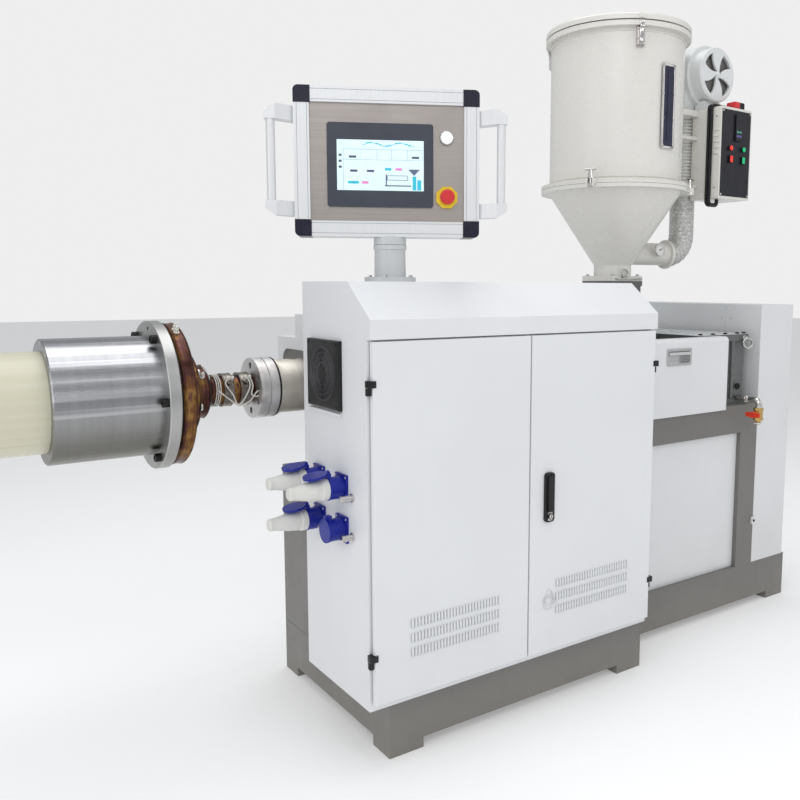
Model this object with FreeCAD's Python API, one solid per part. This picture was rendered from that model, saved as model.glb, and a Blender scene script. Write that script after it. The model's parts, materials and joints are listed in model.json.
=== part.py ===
import FreeCAD
import Part
import math
import os

# Single-screw plastic extruder with its control cabinet, hopper dryer and pipe die.
# Millimetres, +Z up, floor at Z = 0.  While it is modelled, X = 0 and Y = 0 lie on the
# front left edge of the control cabinet, X runs along the cabinet's front and the screw,
# and Y runs away from the operator.  Before export everything is moved so that the
# origin is the middle of the bounding box at floor level.

V = FreeCAD.Vector
X_AXIS = V(1, 0, 0)
Y_AXIS = V(0, 1, 0)
Z_AXIS = V(0, 0, 1)
SEAT = 0.3              # gap between curved faces that seat on each other
MOVE_GAP = 5.0          # clearance kept round doors and other moving pieces

# ---------------------------------------------------------------- driving dimensions
# control cabinet
CAB_W = 1068.0
CAB_D = 378.0
CAB_Z0 = 172.0          # underside of the cabinet's floor sheet
CAB_TOP = 1319.0
SHEET = 2.5             # folded sheet steel
DOOR_PROUD = 19.5       # door and hood face in front of the body's front edge
DOOR_Z0 = 193.5
HOOD_Z0 = CAB_TOP - 148.0       # lower edge of the hood's front face
HOOD_FACE_TOP = CAB_TOP - 97.0
HOOD_SLOPE_Y = 100.0    # where the slope meets the flat roof
DOOR_SIDE = 7.0         # door edge inside the cabinet's side
RIM_W = 42.0            # width of the rim round the door opening
DOOR_BACK = -MOVE_GAP
DOOR_TOP = HOOD_Z0 - MOVE_GAP
DOOR_GAP_X = 533.0
HINGE_Y = -9.0
HINGE_R = DOOR_SIDE     # a knuckle fills the gap beside the door
HINGE_PIN_R = 2.5
HINGE_PIN_GAP = 0.2
HINGE_H = 39.0
HINGE_ZS = (297.0, 1028.0)
HINGE_COVER = 8.0
LOCK_X0 = 587.0
LOCK_W = 36.0
LOCK_Z0 = 603.0
LOCK_H = 151.0
LOCK_PROUD = 9.0
PADDLE_PROUD = 17.0

# plinth and feet
FOOT_H = 31.0
FOOT_X = 112.0
FOOT_Y = 92.0
PLINTH_X0 = 75.0
PLINTH_Y0 = 26.0
PLINTH_BAR = 60.0
PLINTH_Y1 = 466.0

# main frame
BLOCK_X0 = 1078.0
BLOCK_X1 = 2102.0
BLOCK_Y0 = 155.0
AXIS_Y = 540.0          # vertical plane of the screw
AXIS_Z = 1000.0         # height of the screw
BAR = 80.0
RAIL_TOP = 179.0
WING_Y0 = 385.0         # narrow frame behind the cabinet
WING_Y1 = 723.0
WING_RAIL_Y0 = 466.0
WING_TOP = 700.0
WING_RAIL_H = 80.0
COLUMN_W = 100.0
UPPER_Z0 = 732.0
UPPER_Z1 = 830.0
DECK = 13.0
WING_DECK = 12.0
POST_X0 = 1772.0
POST_X1 = 1877.0
PANEL_T = 4.0
PANEL_RECESS = 18.0

# drive side
GEAR_X0 = 1545.0
GEAR_X1 = 1840.0
GEAR_Y0 = 200.0
GEAR_LID_Z = 1095.0
GEAR_TOP = 1120.0
GEAR_LIP = 9.0
DRIVE_X1 = 2091.0
DRIVE_TOP = 1236.0
DRIVE_SPLIT_Y = 327.0
SHAFT_Y = 760.0
SHAFT_Z = 960.0
SHAFT_R = 35.0
LUG_Z0 = 342.0
LUG_Z1 = 374.0
COVER_X0 = 1090.0       # cover in front of the gearbox and feed section
COVER_X1 = 1660.0
COVER_Y0 = 145.0
COVER_DEPTH = 45.0
COVER_Z0 = 833.0
COVER_Z1 = 1118.0
COVER_T = 3.0
COVER_EDGE_R = 16.0
PULL_X0 = 1314.0
PULL_W = 122.0
PULL_Z0 = 1027.0
PULL_H = 50.0

# barrel and die
BARREL_R = 82.0
BARREL_X0 = -29.0
THROAT_X0 = 1305.0
THROAT_Y = 220.0
THROAT_TOP = 1180.0
CLAMP_X0 = -100.0
CLAMP_X1 = -43.0
CLAMP_R = 91.0
CLAMP_SEAM = 3.0
NECK_R = 42.0
NECK_X0 = -228.0
BORE_R = 20.0
CLAMP_HOLES = 6
CLAMP_HOLE_R = 10.0
CLAMP_HOLE_AT = 68.0
HEATER_BANDS = ((-196.0, 30.0), (-146.0, 34.0))
HEATER_R = 49.0
DISC_STEPS = ((-360.0, -323.0, 200.0), (-323.0, -286.0, 118.0), (-286.0, -246.0, 77.0))
FLANGE_X0 = -398.0
FLANGE_X1 = -366.0
FLANGE_R = 208.0
SPACER_R = 192.0
SLEEVE_X0 = -670.0
SLEEVE_R = 167.0
PIPE_R = 135.0
PIPE_WALL = 14.0
PIPE_X0 = -800.0
GUARD_X0 = 68.0         # hood over the barrel
GUARD_X1 = 1290.0
GUARD_Z0 = 1000.0
GUARD_Z1 = 1143.0
GUARD_T = 3.0
ARCH_HALF = 146.0
ARCH_TOP = 1106.0
RAISED_HALF = 72.0
RAISED_TOP = 1217.0
RAISED_X0 = 80.0
SADDLE_X0 = 150.0
GUARD_LEG_XS = (250.0, 980.0)

# hopper dryer
HOP_X = 1425.0
HOP_R = 257.0
HOP_WALL = 2.5
HOP_FLANGE_R = 289.0
HOP_RIM_R = 278.0
HOP_BASE_Z = 1329.0
HOP_BASE_HALF = 84.0
HOP_BASE_T = 20.0
CONE_Z0 = 1390.0
CONE_R0 = 74.0
CONE_Z1 = 1671.0
HOP_FLANGE_T = 14.0
HOP_RIM_Z = 2240.0
HOP_RIM_T = 15.0
LID_Z0 = 2260.5
LID_Z1 = 2285.0
LATCH_Z0 = 2166.0
WINDOW_W = 62.0
WINDOW_Z0 = 1819.0
WINDOW_Z1 = 2116.0
LID_PIVOT_OUT = 24.0    # lid hinge pin behind the rim
LATCH_ANGLES = (-118.0, -2.0, 122.0)
CLAMP_ANGLES = (-152.0, -32.0, 88.0)
CLAMP_BAR_TURNS = (0.0, -58.0, 0.0)     # T bar turned from the tangent
CLAMP_OUT = 16.0        # swing bolt outside the flanges
CLAMP_LUG_OUT = 28.0
CLAMP_SLOT = 9.0        # half the slot between two lugs
CLAMP_LUG = 7.0         # thickness of a lug
CLAMP_BAR_UP = 33.0     # T bar above the upper flange
CLAMP_BAR_LEN = 40.0
INLET_AZ = -10.0        # direction of the air inlet round the hopper, degrees
INLET_Z = 1440.0
INLET_R = 45.0
INLET_END = 268.0
DIAL_AT = 173.0         # thermometer along the inlet pipe
DIAL_UP = 14.0
DIAL_R = 26.0
HOSE_R = 49.0
HOSE_AT = 343.0
HOSE_BEND = 75.0
HOSE_JOIN_Z = 1690.0
HOSE_TOP_Z = 2020.0
BOX_X0 = 1740.0
BOX_X1 = 1935.0
BOX_Y0 = 283.0
BOX_Y1 = 420.0
BOX_Z0 = 1657.0
BOX_Z1 = 2012.0
BRACKET_Y0 = 392.0      # arms that carry the control box from the hopper's wall
BRACKET_ZS = ((1985.0, 2008.0), (1893.0, 1905.0), (1705.0, 1717.0))
DISPLAY = (1826.0, 1869.0, 1884.0, 1987.0)      # x0, x1, z0, z1
LAMP_XS = (1799.0, 1879.0)
LAMP_Z = 1854.0
ROCKER_XS = (1802.0, 1879.0)
ROCKER_Z0 = 1797.0
ROCKER_Z1 = 1826.0
CABLE_R = 6.0
BLOW_X = 1800.0
BLOW_Z = 2149.0
BLOW_R = 122.0
BLOW_Y0 = 405.0
BLOW_Y1 = 480.0
INTAKE_R = 100.0
OUTLET_GAP = 8.0        # between the hopper's wall and the blower's outlet box
INTAKE_Y0 = 361.0

# operator panel
HMI_X = 201.0
HMI_Y = 220.0
HMI_TURN = -28.5        # degrees from square with the cabinet, as it stands
HMI_OFF = -6.0
HMI_W = 514.0
HMI_H = 406.0
HMI_Z0 = CAB_TOP + 125.0
HMI_BAR = 43.0
HMI_CAP = 46.0          # corner cap, a little longer than the bar is wide
START_HOLE_R = 14.5
STOP_HOLE_R = 12.5
HMI_FRONT = -40.0
BUTTON_U = 165.0
START_UP = 72.0
STOP_DOWN = 92.0
GRIP_OUT = 317.0
GRIP_R = 12.0
GRIP_HALF = 128.0
BRACKET_OUT = 76.0
BRACKET_H = 40.0
HMI_DEPTH = 92.0
POST_R = 45.0
POST_BASE_R = 73.0
POST_BASE_T = 13.0
SWIVEL_Z = CAB_TOP + 103.0      # joint between post and neck
SWIVEL_GAP = 1.0

# services on the cabinet's left side
SOCKET_YS = (142.0, 280.0)
SOCKET_ZS = (762.0, 646.0)
SOCKET_W = 68.0
SOCKET_H = 74.0
SHROUD_R = 31.0
CONNECTOR_YZS = ((86.0, 742.0), (86.0, 634.0), (224.0, 634.0))
LID_LIFT = 80.0
FAN_Y0 = 136.0
FAN_Z0 = 970.0
FAN_SIZE = 190.0
FAN_HOLE_R = 80.0
FAN_PROUD = 14.0
FAN_SPOKES = 8
FAN_RINGS = (31.0, 45.0, 59.0, 73.0)

# water valve
VALVE_X = 1783.0
VALVE_Y = 86.0
WATER_Z = 868.0
WATER_R = 11.5
WATER_DROP = 22.0
VALVE_DOWN = 54.0       # handle's axis below the pipe
WING_HALF = 30.0        # half the butterfly handle's length

# ---------------------------------------------------------------- shape helpers


def box(x0, x1, y0, y1, z0, z1):
    """Box between two corners."""
    return Part.makeBox(x1 - x0, y1 - y0, z1 - z0, V(x0, y0, z0))


def rod(x, y, z, axis, radius, length):
    """Cylinder that starts at a point and runs along an axis."""
    return Part.makeCylinder(radius, length, V(x, y, z), axis)


def fuse(shapes):
    """One solid from pieces that touch or overlap."""
    first = shapes[0]
    if len(shapes) > 1:
        first = first.fuse(list(shapes[1:]))
    return first.removeSplitter()


def plate(points, depth, direction):
    """Straight-sided outline pushed along a direction."""
    wire = Part.makePolygon([V(*p) for p in points] + [V(*points[0])])
    return Part.Face(wire).extrude(direction * depth)


def turned(profile, centre, axis):
    """Closed outline of (distance along axis, radius) pairs turned round an axis."""
    side = V(0, 0, 1) if abs(axis.z) < 0.5 else V(1, 0, 0)
    points = [centre + axis * a + side * r for a, r in profile]
    wire = Part.makePolygon(points + [points[0]])
    return Part.Face(wire).revolve(centre, axis, 360)


def round_edges(solid, radius, keep):
    """Fillet the edges that a test picks."""
    edges = [edge for edge in solid.Edges if keep(edge)]
    return solid.makeFillet(radius, edges)


def runs_along(edge, axis):
    """True for a straight edge parallel to an axis."""
    if len(edge.Vertexes) != 2:
        return False
    step = edge.Vertexes[1].Point.sub(edge.Vertexes[0].Point)
    if step.Length < 1e-6:
        return False
    return abs(abs(step.normalize().dot(axis)) - 1) < 1e-6


def tube_path(points, radius, bends):
    """Round bar along straight runs joined by tangent arcs."""
    edges = []
    start = V(*points[0])
    for i in range(1, len(points) - 1):
        here = V(*points[i])
        back = (V(*points[i - 1]) - here).normalize()
        ahead = (V(*points[i + 1]) - here).normalize()
        half = back.getAngle(ahead) / 2
        bend = bends[i - 1]
        reach = bend / math.tan(half)
        enter = here + back * reach
        leave = here + ahead * reach
        middle_dir = (back + ahead).normalize()
        middle = here + middle_dir * (bend / math.sin(half) - bend)
        if (enter - start).Length > 1e-6:
            edges.append(Part.makeLine(start, enter))
        edges.append(Part.Arc(enter, middle, leave).toShape())
        start = leave
    edges.append(Part.makeLine(start, V(*points[-1])))
    path = Part.Wire(edges)
    first = (V(*points[1]) - V(*points[0])).normalize()
    ring = Part.Wire(Part.makeCircle(radius, V(*points[0]), first))
    return path.makePipeShell([ring], True, True)


def mirrored(y):
    """The same distance on the other side of the screw's vertical plane."""
    return 2 * AXIS_Y - y


PARTS = {}


def add(name, *solids):
    """Keep the solids of one node."""
    PARTS[name] = solids[0] if len(solids) == 1 else Part.makeCompound(list(solids))


# ---------------------------------------------------------------- frame and plinth


def build_plinth():
    """Open-backed ring of box section on two feet, under the cabinet."""
    x1 = BLOCK_X0
    ring = box(PLINTH_X0, x1, PLINTH_Y0, PLINTH_Y1, FOOT_H, CAB_Z0)
    ring = ring.cut(box(PLINTH_X0 + PLINTH_BAR, x1 - PLINTH_BAR, PLINTH_Y0 + PLINTH_BAR,
                        PLINTH_Y1 + 1, FOOT_H - 1, CAB_Z0 + 1))
    feet = [box(x, x + FOOT_X, PLINTH_Y0, PLINTH_Y0 + FOOT_Y, 0, FOOT_H)
            for x in (PLINTH_X0, x1 - FOOT_X)]
    add("plinth", fuse([ring] + feet))


def build_lower_frame():
    """Two rings of box section on feet, one under the barrel and one under the drive."""
    back = mirrored(BLOCK_Y0)
    wing = [box(PLINTH_X0, BLOCK_X0, y, y + BAR, FOOT_H, CAB_Z0)
            for y in (WING_RAIL_Y0, WING_Y1 - BAR)]
    wing.append(box(PLINTH_X0, PLINTH_X0 + BAR, WING_RAIL_Y0, WING_Y1, FOOT_H, CAB_Z0))
    block = [box(BLOCK_X0, BLOCK_X1, y, y + BAR, FOOT_H, RAIL_TOP) for y in (BLOCK_Y0, back - BAR)]
    block += [box(x, x + BAR, BLOCK_Y0, back, FOOT_H, RAIL_TOP) for x in (BLOCK_X0, BLOCK_X1 - BAR)]
    feet = [box(x0, x0 + FOOT_X, y0, y0 + FOOT_Y, 0, FOOT_H)
            for x0, y0 in ((PLINTH_X0, WING_Y1 - FOOT_Y), (BLOCK_X1 - FOOT_X, BLOCK_Y0),
                           (BLOCK_X1 - FOOT_X, back - FOOT_Y), (BLOCK_X0, back - FOOT_Y))]
    add("lower_frame", fuse(wing + block + feet))


def build_upper_frame():
    """Posts, upper rails and the two decks they carry."""
    back = mirrored(BLOCK_Y0)
    posts = []
    for x0, x1 in ((BLOCK_X0, BLOCK_X0 + BAR), (POST_X0, POST_X1)):
        for y in (BLOCK_Y0, back - BAR):
            posts.append(box(x0, x1, y, y + BAR, RAIL_TOP, UPPER_Z0))
    column = box(PLINTH_X0, PLINTH_X0 + COLUMN_W, WING_Y0, WING_Y1, CAB_Z0, WING_TOP)
    add("frame_posts", column, *posts)
    wing_z0 = WING_TOP - WING_RAIL_H
    wing = [box(PLINTH_X0 + COLUMN_W, BLOCK_X0, y, y + PLINTH_BAR, wing_z0, WING_TOP)
            for y in (WING_Y0, WING_Y1 - PLINTH_BAR)]
    wing_tie = box(BLOCK_X0, BLOCK_X0 + BAR, BLOCK_Y0 + BAR, back - BAR, wing_z0, UPPER_Z0)
    block = [box(BLOCK_X0, POST_X1, y, y + BAR, UPPER_Z0, UPPER_Z1) for y in (BLOCK_Y0, back - BAR)]
    ties = [box(x, x + BAR, BLOCK_Y0, back, UPPER_Z0, UPPER_Z1) for x in (BLOCK_X0, POST_X1 - BAR)]
    add("upper_frame", fuse(wing + [wing_tie] + block + ties))
    add("decks", box(BLOCK_X0, POST_X1, BLOCK_Y0, back, UPPER_Z1, UPPER_Z1 + DECK),
        box(PLINTH_X0, BLOCK_X0, WING_Y0, WING_Y1, WING_TOP, WING_TOP + WING_DECK))


def build_infill_panels():
    """White sheets set back in the frame's openings, front, back and left end."""
    back = mirrored(BLOCK_Y0)
    x0 = BLOCK_X0 + BAR
    front_y = BLOCK_Y0 + PANEL_RECESS
    rear_y = back - PANEL_RECESS - PANEL_T
    wing_y = WING_Y1 - PANEL_RECESS - PANEL_T
    side_x = BLOCK_X0 + PANEL_RECESS
    wing_z = WING_TOP - WING_RAIL_H
    add("infill_panels",
        box(x0, POST_X0, front_y, front_y + PANEL_T, RAIL_TOP, UPPER_Z0),
        box(x0, POST_X0, rear_y, rear_y + PANEL_T, RAIL_TOP, UPPER_Z0),
        box(PLINTH_X0 + COLUMN_W, BLOCK_X0, wing_y, wing_y + PANEL_T, CAB_Z0, wing_z),
        box(side_x, side_x + PANEL_T, BLOCK_Y0 + BAR, back - BAR, RAIL_TOP, wing_z))


# ---------------------------------------------------------------- control cabinet


def hood_outline(inset):
    """Hood profile in the YZ plane, moved inwards by an inset, from front foot to roof's back."""
    face_y = -DOOR_PROUD + inset
    rise = CAB_TOP - HOOD_FACE_TOP
    run = HOOD_SLOPE_Y + DOOR_PROUD
    slope = math.atan2(rise, run)
    knee = inset * math.tan((math.pi / 2 - slope) / 2)
    roof = inset * math.tan(slope / 2)
    return [(face_y, HOOD_Z0), (face_y, HOOD_FACE_TOP - knee),
            (HOOD_SLOPE_Y + roof, CAB_TOP - inset), (CAB_D, CAB_TOP - inset)]


def build_cabinet():
    """Folded hood, and the body: floor, side and rear sheets with the door rim."""
    floor_z = CAB_Z0 + SHEET
    floor = box(0, CAB_W, 0, CAB_D, CAB_Z0, floor_z)
    inner = hood_outline(SHEET)
    outer = hood_outline(0)
    hood = plate([(0, y, z) for y, z in outer] + [(0, y, z) for y, z in reversed(inner)],
                 CAB_W, X_AXIS)
    add("cabinet_hood", hood)
    wall_line = [(0, floor_z), (CAB_D, floor_z)] + list(reversed(inner)) + [(0, HOOD_Z0)]
    fan_y = FAN_Y0 + FAN_SIZE / 2
    fan_z = FAN_Z0 + FAN_SIZE / 2
    left = plate([(0, y, z) for y, z in wall_line], SHEET, X_AXIS)
    left = left.cut(rod(-1, fan_y, fan_z, X_AXIS, FAN_HOLE_R, SHEET + 2))
    right = plate([(CAB_W - SHEET, y, z) for y, z in wall_line], SHEET, X_AXIS)
    rear = box(SHEET, CAB_W - SHEET, CAB_D - SHEET, CAB_D, floor_z, CAB_TOP - SHEET)
    rim = box(SHEET, CAB_W - SHEET, 0, SHEET, floor_z, HOOD_Z0)
    rim = rim.cut(box(RIM_W, CAB_W - RIM_W, -1, SHEET + 1, DOOR_Z0 + RIM_W / 2, HOOD_Z0 - RIM_W / 2))
    ledge = box(SHEET, CAB_W - SHEET, -DOOR_PROUD + SHEET, SHEET, HOOD_Z0, HOOD_Z0 + SHEET)
    add("cabinet_body", fuse([floor, left, right, rear, rim, ledge]))


def door_pan(x0, x1):
    """Folded door: a front sheet with its four edges turned back."""
    pan = box(x0, x1, -DOOR_PROUD, DOOR_BACK, DOOR_Z0, DOOR_TOP)
    pan = round_edges(pan, 2.0, lambda e: abs(e.CenterOfMass.y + DOOR_PROUD) < 1e-6)
    hollow = box(x0 + SHEET, x1 - SHEET, -DOOR_PROUD + SHEET, DOOR_BACK + 1,
                 DOOR_Z0 + SHEET, DOOR_TOP - SHEET)
    return pan.cut(hollow)


def hinge_pair(side_x, door_x):
    """Fixed and moving halves of one side's two block hinges."""
    outward = 1 if door_x < side_x else -1
    fixed = []
    moving = []
    for z in HINGE_ZS:
        middle = z + HINGE_H / 2
        knuckle = rod(side_x, HINGE_Y, z, Z_AXIS, HINGE_R, HINGE_H / 2 - SWIVEL_GAP / 2)
        leaf = box(side_x - 5, side_x + 5, HINGE_Y, 0, z, middle - SWIVEL_GAP / 2)
        pin = rod(side_x, HINGE_Y, z, Z_AXIS, HINGE_PIN_R, HINGE_H - 3)
        fixed.append(fuse([knuckle, leaf, pin]))
        upper = rod(side_x, HINGE_Y, middle + SWIVEL_GAP / 2, Z_AXIS, HINGE_R, HINGE_H / 2 - 0.5)
        low_x, high_x = sorted((side_x, door_x))
        arm = box(low_x, high_x, HINGE_Y - 5, HINGE_Y + 4, middle + SWIVEL_GAP / 2, z + HINGE_H)
        low_x, high_x = sorted((side_x - outward * (HINGE_R - 1), door_x - outward * HINGE_COVER))
        cover = box(low_x, high_x, -DOOR_PROUD - 3, -DOOR_PROUD, middle + SWIVEL_GAP / 2, z + HINGE_H)
        low_x, high_x = sorted((side_x - outward * (HINGE_R - 1), door_x))
        cheek = box(low_x, high_x, -DOOR_PROUD, HINGE_Y - 3, middle + SWIVEL_GAP / 2, z + HINGE_H)
        hole = rod(side_x, HINGE_Y, z - 1, Z_AXIS, HINGE_PIN_R + HINGE_PIN_GAP, HINGE_H - 1)
        moving.append(fuse([upper, arm, cover, cheek]).cut(hole))
    return fixed, moving


def build_doors():
    """Left and right door with their hinge halves, and the fixed hinge halves."""
    gap = MOVE_GAP / 2
    fixed_left, moving_left = hinge_pair(0.0, DOOR_SIDE)
    fixed_right, moving_right = hinge_pair(CAB_W, CAB_W - DOOR_SIDE)
    add("left_door", fuse([door_pan(DOOR_SIDE, DOOR_GAP_X - gap)] + moving_left))
    add("right_door", fuse([door_pan(DOOR_GAP_X + gap, CAB_W - DOOR_SIDE)] + moving_right))
    add("hinge_blocks", *(fixed_left + fixed_right))


def build_door_handle():
    """Long flush lock: an upright escutcheon, a paddle in its recess and the key barrel."""
    y = -DOOR_PROUD
    escutcheon = box(LOCK_X0, LOCK_X0 + LOCK_W, y - LOCK_PROUD, y, LOCK_Z0, LOCK_Z0 + LOCK_H)
    escutcheon = round_edges(escutcheon, 10.0, lambda e: runs_along(e, Y_AXIS))
    front = y - PADDLE_PROUD
    paddle = box(LOCK_X0 + 7, LOCK_X0 + LOCK_W - 7, front, y - LOCK_PROUD,
                 LOCK_Z0 + 34, LOCK_Z0 + LOCK_H - 9)
    paddle = round_edges(paddle, 3.0, lambda e: abs(e.CenterOfMass.y - front) < 1e-6)
    lock = rod(LOCK_X0 + LOCK_W / 2, y - LOCK_PROUD, LOCK_Z0 + 18, V(0, -1, 0), 9.5, 5)
    add("door_handle", fuse([escutcheon, paddle, lock]))


def build_fan_guard():
    """Square guard with spokes and rings over the fan, and the fan's own housing."""
    y1 = FAN_Y0 + FAN_SIZE
    z1 = FAN_Z0 + FAN_SIZE
    cy = FAN_Y0 + FAN_SIZE / 2
    cz = FAN_Z0 + FAN_SIZE / 2
    frame = box(-FAN_PROUD, 0, FAN_Y0, y1, FAN_Z0, z1)
    frame = round_edges(frame, 5.0, lambda e: abs(e.CenterOfMass.x + FAN_PROUD) < 1e-6)
    frame = frame.cut(rod(-FAN_PROUD - 1, cy, cz, X_AXIS, FAN_HOLE_R - 3, FAN_PROUD + 2))
    bars = [rod(-FAN_PROUD, cy, cz, X_AXIS, 20, 4)]
    for i in range(FAN_SPOKES):
        spoke = box(-FAN_PROUD, -FAN_PROUD + 4, cy, cy + FAN_HOLE_R, cz - 2, cz + 2)
        spoke.rotate(V(0, cy, cz), X_AXIS, 360 / FAN_SPOKES * (i + 0.5))
        bars.append(spoke)
    for radius in FAN_RINGS:
        ring = rod(-FAN_PROUD, cy, cz, X_AXIS, radius + 1.8, 4)
        bars.append(ring.cut(rod(-FAN_PROUD - 1, cy, cz, X_AXIS, radius - 1.8, 6)))
    pad = rod(0, cy, cz, X_AXIS, FAN_HOLE_R - SEAT, SHEET)
    housing = box(SHEET, SHEET + 38, FAN_Y0 + 6, y1 - 6, FAN_Z0 + 6, z1 - 6)
    add("fan_guard", fuse([frame] + bars + [pad, housing]))


def panel_socket(y, z, lid_turn):
    """Square flange, round shroud, hinge lug and sealing lid turned about the lug's pin."""
    flange = box(-6, 0, y - SOCKET_W / 2, y + SOCKET_W / 2, z - SOCKET_H / 2, z + SOCKET_H / 2)
    flange = round_edges(flange, 4.0, lambda e: runs_along(e, X_AXIS))
    shroud = rod(-50, y, z, X_AXIS, SHROUD_R, 44)
    lug = box(-50, -38, y - 9, y + 9, z + 28, z + 42)
    lid = fuse([rod(-56.5, y, z, X_AXIS, 33, 6.5), box(-56.5, -42, y - 7, y + 7, z + 32, z + 42)])
    lid.rotate(V(-44, y, z + 37), Y_AXIS, lid_turn)
    return fuse([flange, shroud, lug, lid])


def plug_body(y, z):
    """Straight cable plug pushed into a socket."""
    profile = [(0, 0), (0, 30), (16, 30), (20, 27), (52, 25), (96, 17), (104, 17), (104, 0)]
    plug = turned(profile, V(-50.3, y, z), V(-1, 0, 0))
    return plug


def build_sockets():
    """Four sockets in two rows; three hold plugs and the front lower one is shut."""
    empty = (SOCKET_YS[0], SOCKET_ZS[1])
    sockets = []
    plugs = []
    for y in SOCKET_YS:
        for z in SOCKET_ZS:
            used = (y, z) != empty
            sockets.append(panel_socket(y, z, LID_LIFT if used else 0))
            if used:
                plugs.append(plug_body(y, z))
    add("power_sockets", *sockets)
    add("power_plugs", *plugs)
    connectors = []
    for y, z in CONNECTOR_YZS:
        connectors.append(fuse([rod(-4, y, z, X_AXIS, 12, 4), rod(-34, y, z, X_AXIS, 9, 31)]))
    add("sensor_connectors", *connectors)


# ---------------------------------------------------------------- barrel, die and guard


def build_barrel():
    """Barrel with its collar and top hole, and the bolted clamp in front of it."""
    barrel = rod(CLAMP_X1, AXIS_Y, AXIS_Z, X_AXIS, BARREL_R, THROAT_X0 - CLAMP_X1)
    collar = rod(CLAMP_X1, AXIS_Y, AXIS_Z, X_AXIS, CLAMP_R - 3, BARREL_X0 - CLAMP_X1)
    barrel = barrel.fuse(collar)
    barrel = barrel.cut(rod(CLAMP_X1 - 1, AXIS_Y, AXIS_Z, X_AXIS, BORE_R, 60))
    barrel = barrel.cut(rod(36, AXIS_Y, AXIS_Z + BARREL_R + 1, V(0, 0, -1), 14, 40))
    add("barrel", barrel.removeSplitter())
    middle = (CLAMP_X0 + CLAMP_X1) / 2
    clamp = rod(CLAMP_X0, AXIS_Y, AXIS_Z, X_AXIS, CLAMP_R, CLAMP_X1 - CLAMP_X0)
    groove = rod(middle - CLAMP_SEAM / 2, AXIS_Y, AXIS_Z, X_AXIS, CLAMP_R + 1, CLAMP_SEAM)
    groove = groove.cut(rod(middle - CLAMP_SEAM, AXIS_Y, AXIS_Z, X_AXIS, CLAMP_R - 4, 2 * CLAMP_SEAM))
    clamp = clamp.cut(groove)
    clamp = clamp.cut(rod(CLAMP_X0 - 1, AXIS_Y, AXIS_Z, X_AXIS, NECK_R + SEAT, 100))
    for i in range(CLAMP_HOLES):
        angle = math.radians(360 / CLAMP_HOLES * (i + 0.5))
        clamp = clamp.cut(rod(CLAMP_X0 - 1, AXIS_Y + CLAMP_HOLE_AT * math.cos(angle),
                              AXIS_Z + CLAMP_HOLE_AT * math.sin(angle), X_AXIS, CLAMP_HOLE_R, 22))
    add("barrel_clamp", clamp)


def build_die():
    """Stepped die and neck, heater bands, flange, sizing sleeve and a length of pipe."""
    outline = [(DISC_STEPS[0][0], BORE_R)]
    for x0, x1, radius in DISC_STEPS:
        outline += [(x0, radius - 3), (x0 + 3, radius), (x1 - 3, radius), (x1, radius - 3)]
    outline += [(NECK_X0, NECK_R), (CLAMP_X1, NECK_R), (CLAMP_X1, BORE_R)]
    add("die_body", turned(outline, V(0, AXIS_Y, AXIS_Z), X_AXIS))
    bands = []
    for x0, width in HEATER_BANDS:
        band = rod(x0, AXIS_Y, AXIS_Z, X_AXIS, HEATER_R, width)
        bands.append(band.cut(rod(x0 - 1, AXIS_Y, AXIS_Z, X_AXIS, NECK_R + SEAT, width + 2)))
    add("neck_heaters", *bands)
    end = DISC_STEPS[0][0]
    flange = [(FLANGE_X0, BORE_R), (FLANGE_X0, FLANGE_R - 2), (FLANGE_X0 + 2, FLANGE_R),
              (FLANGE_X1 - 2, FLANGE_R), (FLANGE_X1, FLANGE_R - 2), (FLANGE_X1, SPACER_R),
              (end, SPACER_R), (end, BORE_R)]
    add("die_flange", turned(flange, V(0, AXIS_Y, AXIS_Z), X_AXIS))
    sleeve = [(SLEEVE_X0, PIPE_R + SEAT), (SLEEVE_X0, SLEEVE_R - 3), (SLEEVE_X0 + 3, SLEEVE_R),
              (FLANGE_X0, SLEEVE_R), (FLANGE_X0, PIPE_R + SEAT)]
    add("sizing_sleeve", turned(sleeve, V(0, AXIS_Y, AXIS_Z), X_AXIS))
    pipe = [(PIPE_X0, PIPE_R - PIPE_WALL), (PIPE_X0, PIPE_R), (FLANGE_X0, PIPE_R),
            (FLANGE_X0, PIPE_R - PIPE_WALL)]
    add("extruded_pipe", turned(pipe, V(0, AXIS_Y, AXIS_Z), X_AXIS))


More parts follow.
